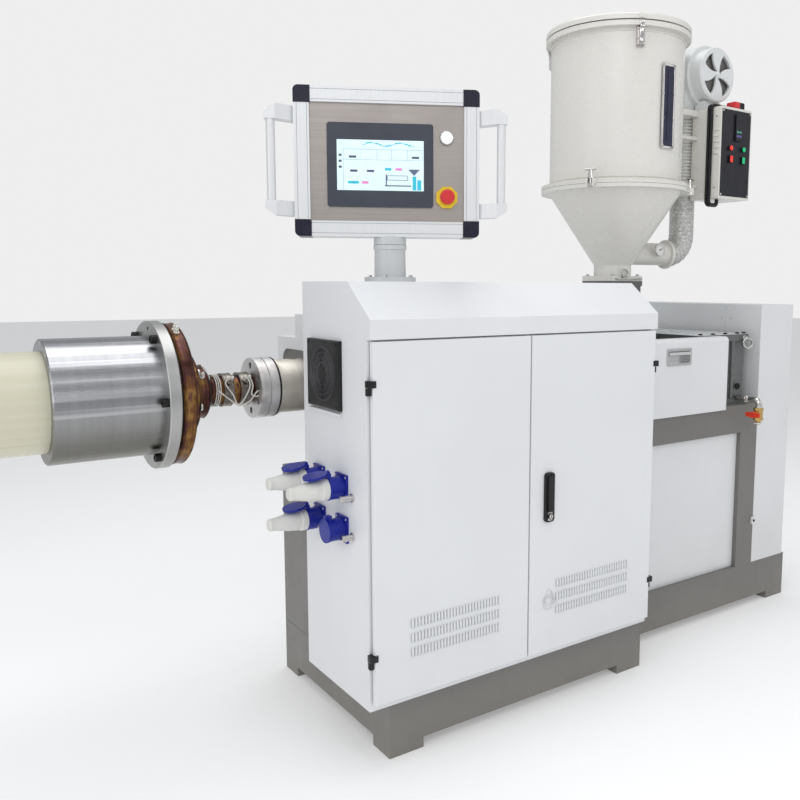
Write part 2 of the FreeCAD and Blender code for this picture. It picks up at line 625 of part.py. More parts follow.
def build_barrel_guard():
    """White tunnel over the barrel, raised along its middle, with its saddle and legs."""
    y0 = WING_Y0 + 5
    y1 = WING_Y1
    shell = box(GUARD_X0, GUARD_X1, y0, y1, GUARD_Z0, GUARD_Z1)
    raised = box(RAISED_X0, GUARD_X1, AXIS_Y - RAISED_HALF, AXIS_Y + RAISED_HALF,
                 GUARD_Z1 - GUARD_T, RAISED_TOP)
    inside = box(GUARD_X0 + GUARD_T, GUARD_X1 + 1, y0 + GUARD_T, y1 - GUARD_T,
                 GUARD_Z0 - 1, GUARD_Z1 - GUARD_T)
    raised_inside = box(RAISED_X0 + GUARD_T, GUARD_X1 + 1, AXIS_Y - RAISED_HALF + GUARD_T,
                        AXIS_Y + RAISED_HALF - GUARD_T, GUARD_Z1 - 2 * GUARD_T, RAISED_TOP - GUARD_T)
    arch = box(GUARD_X0 - 1, GUARD_X0 + GUARD_T + 1, AXIS_Y - ARCH_HALF, AXIS_Y + ARCH_HALF,
               GUARD_Z0 - 40, ARCH_TOP)
    arch = round_edges(arch, 38.0, lambda e: runs_along(e, X_AXIS) and e.CenterOfMass.z > ARCH_TOP - 1)
    guard = shell.fuse(raised).cut(inside).cut(raised_inside).cut(arch)
    add("barrel_guard", guard.removeSplitter())
    deck = WING_TOP + WING_DECK
    saddle = box(SADDLE_X0, SADDLE_X0 + 40, AXIS_Y - 70, AXIS_Y + 70, deck, AXIS_Z - 20)
    saddle = saddle.cut(rod(SADDLE_X0 - 10, AXIS_Y, AXIS_Z, X_AXIS, BARREL_R + SEAT, 60))
    foot = box(SADDLE_X0 - 30, SADDLE_X0 + 70, AXIS_Y - 95, AXIS_Y + 95, deck, deck + 15)
    legs = [fuse([saddle, foot])]
    for x in GUARD_LEG_XS:
        legs.append(box(x, x + 40, y0, y0 + 6, deck, GUARD_Z0))
        legs.append(box(x, x + 40, y1 - 6, y1, deck, GUARD_Z0))
    add("barrel_supports", *legs)


# ---------------------------------------------------------------- gearbox end


def build_gearbox():
    """Ribbed case with its lid and the input shaft to the belt guard."""
    back = mirrored(GEAR_Y0)
    deck = UPPER_Z1 + DECK
    case = box(GEAR_X0, GEAR_X1, GEAR_Y0, back, deck, GEAR_LID_Z)
    case = round_edges(case, 14.0, lambda e: runs_along(e, Z_AXIS))
    foot = box(GEAR_X0, GEAR_X1 + GEAR_LIP, GEAR_Y0 - GEAR_LIP, back + GEAR_LIP, deck, deck + 22)
    ribs = [box(x, x + 14, GEAR_Y0 - GEAR_LIP, back + GEAR_LIP, deck, GEAR_LID_Z)
            for x in (GEAR_X0 + 60, GEAR_X0 + 200)]
    lid = box(GEAR_X0, GEAR_X1 + GEAR_LIP, GEAR_Y0 - GEAR_LIP, back + GEAR_LIP, GEAR_LID_Z, GEAR_TOP)
    lid = round_edges(lid, 6.0, lambda e: runs_along(e, Z_AXIS))
    shaft = rod(GEAR_X1, SHAFT_Y, SHAFT_Z, X_AXIS, SHAFT_R, POST_X1 - GEAR_X1)
    add("gearbox", fuse([case, foot, lid, shaft] + ribs))


def build_feed_throat():
    """Block under the hopper with its neck and top flange."""
    half = THROAT_Y / 2
    deck = UPPER_Z1 + DECK
    block = box(THROAT_X0, GEAR_X0, AXIS_Y - half, AXIS_Y + half, deck, THROAT_TOP)
    neck = box(HOP_X - 80, HOP_X + 80, AXIS_Y - 80, AXIS_Y + 80, THROAT_TOP, HOP_BASE_Z)
    top = box(HOP_X - HOP_BASE_HALF, HOP_X + HOP_BASE_HALF, AXIS_Y - HOP_BASE_HALF,
              AXIS_Y + HOP_BASE_HALF, HOP_BASE_Z - HOP_BASE_T, HOP_BASE_Z)
    add("feed_throat", fuse([block, neck, top]))


def build_drive_guard():
    """Tall belt housing at the right end, its front cover marked off by a joint line."""
    back = mirrored(BLOCK_Y0)
    guard = box(POST_X1, DRIVE_X1, BLOCK_Y0, back, RAIL_TOP, DRIVE_TOP)
    guard = round_edges(guard, 3.0, lambda e: runs_along(e, Z_AXIS))
    joint = box(POST_X1 - 1, DRIVE_X1 + 1, DRIVE_SPLIT_Y - 1, DRIVE_SPLIT_Y + 1, RAIL_TOP - 1, DRIVE_TOP + 1)
    core = box(POST_X1 + 2, DRIVE_X1 - 2, BLOCK_Y0, back, RAIL_TOP - 2, DRIVE_TOP - 2)
    lug = box(POST_X1 - 16, POST_X1 + 12, BLOCK_Y0 - 8, BLOCK_Y0, LUG_Z0, LUG_Z1)
    lug = round_edges(lug, 7.0, lambda e: runs_along(e, Y_AXIS))
    add("drive_guard", fuse([guard.cut(joint.cut(core)), lug]))


def build_gearbox_cover():
    """Lift-off sheet cover with rounded top edge, and the pull set in it."""
    y1 = COVER_Y0 + COVER_DEPTH
    outer = box(COVER_X0, COVER_X1, COVER_Y0, y1, COVER_Z0, COVER_Z1)
    outer = round_edges(outer, COVER_EDGE_R, lambda e: runs_along(e, X_AXIS)
                        and e.CenterOfMass.y < COVER_Y0 + 1 and e.CenterOfMass.z > COVER_Z1 - 1)
    inner = box(COVER_X0 + COVER_T, COVER_X1 - COVER_T, COVER_Y0 + COVER_T, y1 + 1,
                COVER_Z0 - 1, COVER_Z1 - COVER_T)
    inner = round_edges(inner, COVER_EDGE_R - COVER_T, lambda e: runs_along(e, X_AXIS)
                        and e.CenterOfMass.y < COVER_Y0 + COVER_T + 1
                        and e.CenterOfMass.z > COVER_Z1 - COVER_T - 1)
    deck_room = box(COVER_X0 - 1, COVER_X1 + 1, BLOCK_Y0, y1 + 1, COVER_Z0 - 1, UPPER_Z1 + DECK)
    cover = outer.cut(inner).cut(deck_room)
    hole = box(PULL_X0, PULL_X0 + PULL_W, COVER_Y0 - 1, COVER_Y0 + COVER_T + 1, PULL_Z0, PULL_Z0 + PULL_H)
    add("gearbox_cover", cover.cut(hole))
    lip = box(PULL_X0 - 6, PULL_X0 + PULL_W + 6, COVER_Y0 - 3, COVER_Y0, PULL_Z0 - 6, PULL_Z0 + PULL_H + 6)
    lip = round_edges(lip, 4.0, lambda e: runs_along(e, Y_AXIS))
    tub = box(PULL_X0 + SEAT, PULL_X0 + PULL_W - SEAT, COVER_Y0 - 3, COVER_Y0 + 24,
              PULL_Z0 + SEAT, PULL_Z0 + PULL_H - SEAT)
    hollow = box(PULL_X0 + 3, PULL_X0 + PULL_W - 3, COVER_Y0 - 4, COVER_Y0 + 22,
                 PULL_Z0 + 3, PULL_Z0 + PULL_H - 3)
    grip = rod(PULL_X0 + 2, COVER_Y0 + 1, PULL_Z0 + PULL_H - 12, X_AXIS, 8, PULL_W - 4)
    add("pull_handle", fuse([lip, tub]).cut(hollow).fuse(grip).removeSplitter())


def build_water_valve():
    """Cooling water pipe with its elbow, the valve under it and the butterfly handle."""
    drop = WATER_Z - WATER_DROP
    axis_z = WATER_Z - VALVE_DOWN
    pipe = tube_path([(VALVE_X, GEAR_Y0 - GEAR_LIP, WATER_Z), (VALVE_X, VALVE_Y, WATER_Z),
                      (VALVE_X, VALVE_Y, drop - 8)], WATER_R, [16.0])
    add("water_pipe", pipe)
    body = rod(VALVE_X, VALVE_Y, drop - 8, V(0, 0, -1), 17, 48)
    bonnet = rod(VALVE_X, VALVE_Y, axis_z, V(-1, 0, 0), 10, 28)
    spout = rod(VALVE_X, VALVE_Y, drop - 56, V(0, 0, -1), 10, 16)
    add("water_valve", fuse([body, bonnet, spout]))
    wing = box(VALVE_X - 40, VALVE_X - 30, VALVE_Y - WING_HALF, VALVE_Y + WING_HALF, axis_z - 9, axis_z + 9)
    wing = round_edges(wing, 4.0, lambda e: runs_along(e, X_AXIS))
    hub = rod(VALVE_X - 28 - SEAT, VALVE_Y, axis_z, V(-1, 0, 0), 12, 14)
    add("valve_handle", fuse([wing, hub]))


# ---------------------------------------------------------------- hopper dryer


def shell_of_revolution(outline):
    """Solid turned about the hopper's upright axis from (height, radius) pairs."""
    return turned(outline, V(HOP_X, AXIS_Y, 0), Z_AXIS)


def around(shape, angle):
    """Turn a shape about the hopper's upright axis."""
    shape.rotate(V(HOP_X, AXIS_Y, 0), Z_AXIS, angle)
    return shape


def build_hopper():
    """Base, cone, body and hinged lid; gives back the lid hinge's place."""
    plate_top = HOP_BASE_Z + HOP_BASE_T
    base = box(HOP_X - HOP_BASE_HALF, HOP_X + HOP_BASE_HALF, AXIS_Y - HOP_BASE_HALF,
               AXIS_Y + HOP_BASE_HALF, HOP_BASE_Z, plate_top)
    base = base.fuse(rod(HOP_X, AXIS_Y, plate_top, Z_AXIS, CONE_R0, CONE_Z0 - plate_top))
    base = base.cut(rod(HOP_X, AXIS_Y, HOP_BASE_Z - 1, Z_AXIS, CONE_R0 - 8, 200))
    add("hopper_base", base.removeSplitter())
    rise = (CONE_Z1 - CONE_Z0)
    flare = math.atan2(HOP_R - CONE_R0, rise)
    drop = HOP_WALL / math.sin(flare)
    side = HOP_WALL / math.cos(flare)
    cone = [(CONE_Z0, CONE_R0), (CONE_Z1, HOP_R), (CONE_Z1, HOP_FLANGE_R),
            (CONE_Z1 + HOP_FLANGE_T, HOP_FLANGE_R), (CONE_Z1 + HOP_FLANGE_T, HOP_R - side),
            (CONE_Z1, HOP_R - side), (CONE_Z0, CONE_R0 - side)]
    cone_solid = shell_of_revolution(cone)
    inlet_hole = rod(HOP_X, AXIS_Y, INLET_Z, X_AXIS, INLET_R, INLET_END)
    cone_solid = cone_solid.cut(around(inlet_hole, INLET_AZ))
    for angle in CLAMP_ANGLES:
        cone_solid = cone_solid.fuse(clamp_lugs(angle, CONE_Z1, True))
    add("hopper_cone", cone_solid)
    low = CONE_Z1 + HOP_FLANGE_T
    body = [(low, HOP_R - HOP_WALL), (low, HOP_FLANGE_R), (low + HOP_FLANGE_T, HOP_FLANGE_R),
            (low + HOP_FLANGE_T, HOP_R), (HOP_RIM_Z, HOP_R), (HOP_RIM_Z, HOP_RIM_R),
            (HOP_RIM_Z + HOP_RIM_T, HOP_RIM_R), (HOP_RIM_Z + HOP_RIM_T, HOP_R - HOP_WALL)]
    body_solid = shell_of_revolution(body)
    for angle in CLAMP_ANGLES:
        body_solid = body_solid.fuse(clamp_lugs(angle, low, False))
    lid = [(LID_Z0, HOP_RIM_R - 12), (LID_Z0, HOP_RIM_R), (LID_Z1 - 8, HOP_RIM_R),
           (LID_Z1 - 3, HOP_RIM_R - 4), (LID_Z1, HOP_RIM_R - 14), (LID_Z1, 0),
           (LID_Z1 - 3, 0), (LID_Z1 - 3, HOP_RIM_R - 14), (LID_Z0 + 4, HOP_RIM_R - 12)]
    lid_solid = shell_of_revolution(lid)
    pivot_y = AXIS_Y + HOP_RIM_R + LID_PIVOT_OUT
    pivot_z = (HOP_RIM_Z + HOP_RIM_T + LID_Z0) / 2
    ear_y0 = AXIS_Y + HOP_RIM_R - 4
    strap = box(HOP_X - 30, HOP_X + 30, ear_y0, pivot_y, LID_Z0 + 2, LID_Z0 + 12)
    knuckle = rod(HOP_X - 30, pivot_y, pivot_z, X_AXIS, 10, 60)
    moving = fuse([strap, knuckle])
    moving = moving.cut(rod(HOP_X - 31, pivot_y, pivot_z, X_AXIS, 4 + 0.2, 62))
    catches = []
    for angle in LATCH_ANGLES:
        catch = box(HOP_RIM_R - 4, HOP_RIM_R + 6, -10, 10, LID_Z0 + 2, LID_Z0 + 16)
        catch.translate(V(HOP_X, AXIS_Y, 0))
        catches.append(around(catch, angle))
    add("hopper_lid", fuse([lid_solid, moving] + catches))
    arms = []
    for x in (HOP_X - 44, HOP_X + 31):
        arm = box(x, x + 13, AXIS_Y + HOP_RIM_R - 30, pivot_y + 8, HOP_RIM_Z - 12, pivot_z + 8)
        arm = arm.cut(rod(HOP_X, AXIS_Y, HOP_RIM_Z - 60, Z_AXIS, HOP_R - 1, 100))
        arm = arm.cut(rod(HOP_X, AXIS_Y, HOP_RIM_Z + HOP_RIM_T, Z_AXIS, HOP_RIM_R + MOVE_GAP, 60))
        arms.append(arm)
    pin = rod(HOP_X - 44, pivot_y, pivot_z, X_AXIS, 4, 88)
    add("hopper_body", fuse([body_solid] + arms + [pin]))
    return pivot_y, pivot_z


def build_hopper_fittings():
    """Sight glass, lid latches and the clamps between cone and body."""
    half = WINDOW_W / 2
    front = AXIS_Y - HOP_R
    glass = box(HOP_X - half, HOP_X + half, front - 8, front + 12, WINDOW_Z0, WINDOW_Z1)
    glass = round_edges(glass, 12.0, lambda e: runs_along(e, Y_AXIS))
    glass = glass.cut(rod(HOP_X, AXIS_Y, WINDOW_Z0 - 1, Z_AXIS, HOP_R + SEAT, 400))
    add("sight_glass", glass)
    latch = box(HOP_R + SEAT, HOP_R + 10, -14, 14, LATCH_Z0, HOP_RIM_Z - 1)
    lever = box(HOP_R + 10, HOP_R + 16, -10, 10, LATCH_Z0 + 6, LATCH_Z0 + 60)
    latch = fuse([latch, lever])
    latches = []
    for angle in LATCH_ANGLES:
        piece = latch.copy()
        piece.translate(V(HOP_X, AXIS_Y, 0))
        latches.append(around(piece, angle))
    clamps = [swing_bolt(angle, turn) for angle, turn in zip(CLAMP_ANGLES, CLAMP_BAR_TURNS)]
    add("hopper_clamps", *(latches + clamps))


def clamp_lugs(angle, z0, pin_hole):
    """Pair of lugs on one flange, either side of a swing bolt."""
    lugs = []
    for y in (-CLAMP_SLOT - CLAMP_LUG, CLAMP_SLOT):
        lug = box(HOP_FLANGE_R - 6, HOP_FLANGE_R + CLAMP_LUG_OUT, y, y + CLAMP_LUG, z0, z0 + HOP_FLANGE_T)
        if pin_hole:
            lug = lug.cut(rod(HOP_FLANGE_R + CLAMP_OUT, y - 1, z0 + HOP_FLANGE_T / 2, Y_AXIS, 4 + SEAT, 9))
        lug.translate(V(HOP_X, AXIS_Y, 0))
        lugs.append(around(lug, angle))
    return lugs


def swing_bolt(angle, bar_turn):
    """Eye, stem, washer, nut and T bar of one clamp, stood between its lugs."""
    x = HOP_FLANGE_R + CLAMP_OUT
    eye_z = CONE_Z1 + HOP_FLANGE_T / 2
    top = CONE_Z1 + 2 * HOP_FLANGE_T
    bar_z = top + CLAMP_BAR_UP
    half = CLAMP_SLOT + CLAMP_LUG
    eye = rod(x, 1 - CLAMP_SLOT, eye_z, Y_AXIS, 6.5, 2 * CLAMP_SLOT - 2)
    pin = rod(x, -half - 2, eye_z, Y_AXIS, 4, 2 * half + 4)
    stem = rod(x, 0, eye_z, Z_AXIS, 6, bar_z - eye_z)
    washer = rod(x, 0, top + SEAT, Z_AXIS, 12.5, 5)
    nut = rod(x, 0, top + SEAT, Z_AXIS, 9, 22)
    bar = rod(x, -CLAMP_BAR_LEN / 2, bar_z, Y_AXIS, 4.5, CLAMP_BAR_LEN)
    bar.rotate(V(x, 0, 0), Z_AXIS, bar_turn)
    piece = fuse([eye, pin, stem, washer, nut, bar])
    piece.translate(V(HOP_X, AXIS_Y, 0))
    return around(piece, angle)


def build_hot_air():
    """Inlet pipe with its thermometer, and the hose up to the blower."""
    cone_slope = (HOP_R - CONE_R0) / (CONE_Z1 - CONE_Z0)
    start = CONE_R0 + cone_slope * (INLET_Z - CONE_Z0) - 50
    pipe = Part.makeCylinder(INLET_R - SEAT, INLET_END - start, V(HOP_X + start, AXIS_Y, INLET_Z), X_AXIS)
    pipe = pipe.cut(rod(HOP_X, AXIS_Y, INLET_Z, X_AXIS, INLET_R - 4, 500))
    inside = Part.makeCone(CONE_R0 - 1, HOP_R - 1, CONE_Z1 - CONE_Z0, V(HOP_X, AXIS_Y, CONE_Z0))
    pipe = pipe.cut(inside)
    collar = rod(HOP_X + INLET_END - 10, AXIS_Y, INLET_Z, X_AXIS, INLET_R + 14, 10)
    collar = collar.cut(rod(HOP_X, AXIS_Y, INLET_Z, X_AXIS, INLET_R - 4, 500))
    boss = rod(HOP_X + DIAL_AT, AXIS_Y - INLET_R + 6, INLET_Z + DIAL_UP, V(0, -1, 0), 11, 26)
    boss = boss.cut(rod(HOP_X, AXIS_Y, INLET_Z, X_AXIS, INLET_R - 4, 500))
    dial = rod(HOP_X + DIAL_AT, AXIS_Y - INLET_R - 20, INLET_Z + DIAL_UP, V(0, -1, 0), DIAL_R, 14)
    add("inlet_pipe", around(fuse([pipe, collar, boss, dial]), INLET_AZ))
    x = HOP_X + HOSE_AT
    lower = tube_path([(HOP_X + INLET_END, AXIS_Y, INLET_Z), (x, AXIS_Y, INLET_Z),
                       (x, AXIS_Y, HOSE_JOIN_Z)], HOSE_R, [HOSE_BEND])
    upper = rod(x, AXIS_Y, HOSE_JOIN_Z, Z_AXIS, HOSE_R - 6, HOSE_TOP_Z - HOSE_JOIN_Z)
    add("hot_air_hose", around(fuse([lower, upper]), INLET_AZ))


def build_blower():
    """Blower with outlet box, motor and feet, and the intake cover with swirl openings."""
    scroll = rod(BLOW_X, BLOW_Y0, BLOW_Z, Y_AXIS, BLOW_R, BLOW_Y1 - BLOW_Y0)
    step = rod(BLOW_X, INTAKE_Y0, BLOW_Z, Y_AXIS, INTAKE_R + 5, BLOW_Y0 - INTAKE_Y0)
    angle = math.radians(INLET_AZ)
    hose_x = HOP_X + HOSE_AT * math.cos(angle)
    hose_y = AXIS_Y + HOSE_AT * math.sin(angle)
    outlet = box(HOP_X + HOP_R + OUTLET_GAP, hose_x + HOSE_R, BLOW_Y0 + 20, hose_y + HOSE_R,
                 HOSE_TOP_Z, BLOW_Z - 10)
    outlet = outlet.fuse(rod(hose_x, hose_y, HOSE_TOP_Z, Z_AXIS, HOSE_R, 30))
    motor = rod(BLOW_X, BLOW_Y1, BLOW_Z, Y_AXIS, 76, 140)
    feet = box(BLOW_X - 50, BLOW_X + 50, BLOW_Y0 - 30, BOX_Y1, BOX_Z1, BLOW_Z - BLOW_R + 20)
    housing = fuse([scroll, step, outlet, feet, motor])
    recess = rod(BLOW_X, INTAKE_Y0 - 1, BLOW_Z, Y_AXIS, INTAKE_R - 6, 60)
    add("blower_housing", housing.cut(recess))
    disc = rod(BLOW_X, INTAKE_Y0 - 8, BLOW_Z, Y_AXIS, INTAKE_R, 8)
    for i in range(4):
        slot = swirl_slot()
        slot.rotate(V(BLOW_X, 0, BLOW_Z), Y_AXIS, 90 * i)
        disc = disc.cut(slot)
    add("intake_cover", disc)


def swirl_slot():
    """Crescent opening between two swept arcs of the intake cover."""
    r0 = 14.0
    r1 = INTAKE_R - 14
    y = INTAKE_Y0 - 20

    def at(radius, degrees):
        """Point at a radius and an angle on the cover."""
        a = math.radians(degrees)
        return V(BLOW_X + radius * math.cos(a), y, BLOW_Z + radius * math.sin(a))

    lead = Part.Arc(at(r0, 8), at((r0 + r1) / 2, 30), at(r1, 22)).toShape()
    rim = Part.Arc(at(r1, 22), at(r1, 44), at(r1, 66)).toShape()
    trail = Part.Arc(at(r1, 66), at((r0 + r1) / 2, 72), at(r0, 40)).toShape()
    close = Part.makeLine(at(r0, 40), at(r0, 8))
    return Part.Face(Part.Wire([lead, rim, trail, close])).extrude(V(0, 40, 0))


def build_control_box():
    """Dryer's control box on three arms, its front panel and its two cables."""
    case = box(BOX_X0, BOX_X1, BOX_Y0, BOX_Y1, BOX_Z0, BOX_Z1)
    case = round_edges(case, 6.0, lambda e: runs_along(e, Y_AXIS))
    panel = box(BOX_X0 + 8, BOX_X1 - 8, BOX_Y0 - 2, BOX_Y0, BOX_Z0 + 10, BOX_Z1 - 10)
    y = BOX_Y0 - 2
    display = box(DISPLAY[0], DISPLAY[1], y - 7, y, DISPLAY[2], DISPLAY[3])
    buttons = [rod(x, y, LAMP_Z, V(0, -1, 0), 10, 8) for x in LAMP_XS]
    buttons += [box(x - 9, x + 9, y - 8, y, ROCKER_Z0, ROCKER_Z1) for x in ROCKER_XS]
    add("dryer_control_panel", fuse([panel, display] + buttons))
    brackets = []
    for z0, z1 in BRACKET_ZS:
        bracket = box(HOP_X + HOP_R - 60, BOX_X0, BRACKET_Y0, BOX_Y1 - 10, z0, z1)
        brackets.append(bracket.cut(rod(HOP_X, AXIS_Y, z0 - 1, Z_AXIS, HOP_R + SEAT, 60)))
    add("dryer_control_box", fuse([case] + brackets))
    grip = box(1848, 1908, 300, 340, BOX_Z1, BOX_Z1 + 30)
    grip = round_edges(grip, 6.0, lambda e: runs_along(e, Y_AXIS))
    x = BOX_X0 - 7
    cable = tube_path([(1850, 322, BOX_Z1 + 8), (x, 322, BOX_Z1 + 8), (x, 322, BOX_Z0 - 22),
                       (BOX_X0 + 40, 322, BOX_Z0 - 22), (BOX_X0 + 40, 322, BOX_Z0)],
                      CABLE_R, [16.0, 16.0, 14.0])
    second = tube_path([(1850, 336, BOX_Z1 + 8), (x, 336, BOX_Z1 + 8), (x, 336, BOX_Z0 - 24),
                        (BOX_X0 + 62, 336, BOX_Z0 - 24), (BOX_X0 + 62, 336, BOX_Z0)],
                       CABLE_R, [16.0, 16.0, 14.0])
    add("dryer_cables", fuse([grip, cable, second]))


# ---------------------------------------------------------------- operator panel


def place_panel(shape):
    """Stand a shape drawn square to the cabinet on the post and turn it as the panel stands."""
    shape.translate(V(HMI_X, HMI_Y, 0))
    shape.rotate(V(HMI_X, HMI_Y, 0), Z_AXIS, HMI_TURN)
    return shape


def build_post():
    """Fixed post and the neck that turns in it on a pin."""
    profile = [(CAB_TOP, 0), (CAB_TOP, POST_BASE_R), (CAB_TOP + POST_BASE_T, POST_BASE_R),
               (CAB_TOP + POST_BASE_T, POST_R), (SWIVEL_Z - 14, POST_R - 1), (SWIVEL_Z - 12, POST_R + 2),
               (SWIVEL_Z, POST_R + 2), (SWIVEL_Z, 0)]
    post = turned(profile, V(HMI_X, HMI_Y, 0), Z_AXIS)
    post = post.cut(rod(HMI_X, HMI_Y, SWIVEL_Z - 60, Z_AXIS, 16.2, 80))
    add("panel_post", post)
    foot = SWIVEL_Z + SWIVEL_GAP
    neck = [(foot, 0), (foot, POST_R + 1), (HMI_Z0, POST_R + 1), (HMI_Z0, 0)]
    neck_solid = turned(neck, V(HMI_X, HMI_Y, 0), Z_AXIS)
    pin = rod(HMI_X, HMI_Y, SWIVEL_Z - 55, Z_AXIS, 16, 60)
    add("panel_neck", fuse([neck_solid, pin]))


def build_panel():
    """Bars, corner caps, face sheet, screen, buttons and grips of the operator panel."""
    u0 = HMI_OFF - HMI_W / 2
    u1 = HMI_OFF + HMI_W / 2
    z0 = HMI_Z0
    z1 = HMI_Z0 + HMI_H
    v0 = HMI_FRONT
    v1 = HMI_FRONT + HMI_DEPTH
    bar = HMI_BAR
    cap = HMI_CAP
    bars = [box(u0 + cap, u1 - cap, v0, v1, z0, z0 + bar), box(u0 + cap, u1 - cap, v0, v1, z1 - bar, z1),
            box(u0, u0 + bar, v0, v1, z0 + cap, z1 - cap), box(u1 - bar, u1, v0, v1, z0 + cap, z1 - cap)]
    bars.append(box(u0 + bar, u1 - bar, v1 - 8, v1 - 5, z0 + bar, z1 - bar))
    add("panel_housing", place_panel(fuse(bars)))
    caps = []
    inside = box(u0 + bar, u1 - bar, v0 - 5, v1 + 5, z0 + bar, z1 - bar)
    for u in (u0, u1 - cap):
        for z in (z0, z1 - cap):
            corner = box(u, u + cap, v0 - 1.5, v1 + 1.5, z, z + cap)
            outer_u = u if u == u0 else u + cap
            outer_z = z if z == z0 else z + cap
            corner = round_edges(corner, 14.0, lambda e: runs_along(e, Y_AXIS)
                                 and abs(e.CenterOfMass.x - outer_u) < 1e-6
                                 and abs(e.CenterOfMass.z - outer_z) < 1e-6)
            caps.append(place_panel(corner.cut(inside)))
    add("panel_corner_caps", *caps)
    sheet = box(u0 + bar, u1 - bar, v0 + 8, v0 + 11, z0 + bar, z1 - bar)
    face = v0 + 8
    mid_z = (z0 + z1) / 2
    mid_u = HMI_OFF - 20
    bezel = box(mid_u - 147, mid_u + 147, face - 7, face, mid_z - 121, mid_z + 107)
    bezel = round_edges(bezel, 8.0, lambda e: runs_along(e, Y_AXIS))
    add("touch_screen", place_panel(bezel))
    button_u = HMI_OFF + BUTTON_U
    start_z = mid_z + START_UP
    stop_z = mid_z - STOP_DOWN
    ring = rod(button_u, face, start_z, V(0, -1, 0), 19, 6)
    start_hole = rod(button_u, face + 20, start_z, V(0, -1, 0), START_HOLE_R, 60)
    stop_hole = rod(button_u, face + 20, stop_z, V(0, -1, 0), STOP_HOLE_R, 60)
    add("panel_face", place_panel(fuse([sheet, ring]).cut(start_hole).cut(stop_hole)))
    button = rod(button_u, face - SEAT, start_z, V(0, -1, 0), 14, 13)
    add("start_button", place_panel(button))
    guard = [(button_u + 32 * math.cos(math.radians(22.5 + 45 * i)), face,
              stop_z + 32 * math.sin(math.radians(22.5 + 45 * i))) for i in range(8)]
    collar = plate(guard, 9, V(0, -1, 0))
    collar = collar.cut(rod(button_u, face + 1, stop_z, V(0, -1, 0), STOP_HOLE_R, 40))
    add("stop_collar", place_panel(collar))
    stem = rod(button_u, face - SEAT, stop_z, V(0, -1, 0), 12, 20)
    head = rod(button_u, face - 18, stop_z, V(0, -1, 0), 20.5, 13)
    head = round_edges(head, 4.0, lambda e: e.CenterOfMass.y < face - 30)
    add("stop_button", place_panel(fuse([stem, head])))
    handles = []
    for sign in (-1, 1):
        inner = HMI_OFF + sign * HMI_W / 2
        grip_u = HMI_OFF + sign * GRIP_OUT
        reach = inner + sign * BRACKET_OUT
        pieces = [rod(grip_u, v0 - 12, mid_z - GRIP_HALF, Z_AXIS, GRIP_R, 2 * GRIP_HALF)]
        for side in (-1, 1):
            far_z = mid_z + side * (GRIP_HALF + BRACKET_H / 2)
            z = min(far_z, far_z - side * BRACKET_H)
            outline = [(inner, v0 + 52, z), (inner, v0 + 8, z), (reach - sign * 30, v0 - 26, z),
                       (reach, v0 - 26, z), (reach, v0 + 4, z), (reach - sign * 22, v0 + 12, z)]
            slope = [(reach - sign * 28, v0 - 60, far_z + side), (reach + sign, v0 - 60, far_z + side),
                     (reach + sign, v0 - 60, far_z - side * 19)]
            pieces.append(plate(outline, BRACKET_H, Z_AXIS).cut(plate(slope, 200, Y_AXIS)))
        handles.append(place_panel(fuse(pieces)))
    add("panel_handles", *handles)


def main():
    """Build every node, centre them and write one file for each."""
    build_plinth()
    build_lower_frame()
    build_upper_frame()
    build_infill_panels()
    build_cabinet()
    build_doors()
    build_door_handle()
    build_fan_guard()
    build_sockets()
    build_barrel()
    build_die()
    build_barrel_guard()
    build_gearbox()
    build_feed_throat()
    build_drive_guard()
    build_gearbox_cover()
    build_water_valve()
    lid_y, lid_z = build_hopper()
    build_hopper_fittings()
    build_hot_air()
    build_blower()
    build_control_box()
    build_post()
    build_panel()

    extent = Part.makeCompound(list(PARTS.values())).BoundBox
    shift = V(-extent.Center.x, -extent.Center.y, 0)
    os.makedirs("parts", exist_ok=True)
    for name, shape in PARTS.items():
        moved = shape.copy()
        moved.translate(shift)
        if not moved.isValid() or any(s.Volume <= 0 for s in moved.Solids):
            print("check", name)
        moved.exportStep("parts/" + name + ".step")
    print(len(PARTS), "nodes; shift", round(shift.x, 3), round(shift.y, 3),
          "box", [round(v, 1) for v in (extent.XMin, extent.YMin, extent.ZMin,
                                        extent.XMax, extent.YMax, extent.ZMax)])
    turn = math.radians(HMI_TURN)
    anchors = {
        "left_door": (0.0, HINGE_Y, 0.0),
        "right_door": (CAB_W, HINGE_Y, 0.0),
        "panel": (HMI_X, HMI_Y, SWIVEL_Z),
        "lid": (HOP_X, lid_y, lid_z),
        "valve": (VALVE_X, VALVE_Y, WATER_Z - VALVE_DOWN),
    }
    for name, point in anchors.items():
        print(name, [round((c + s) / 1000, 6) for c, s in zip(point, (shift.x, shift.y, 0))])
    print("press direction", round(-math.sin(turn), 6), round(math.cos(turn), 6))


if __name__ == "__main__":
    main()
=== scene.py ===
"""Dresses the pipe extruder: procedural finishes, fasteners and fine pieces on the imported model."""
from __future__ import annotations

import json
import logging
import math
from dataclasses import dataclass, field
from enum import Enum
from typing import Any, Sequence

import bmesh
import bpy
from mathutils import Matrix, Vector

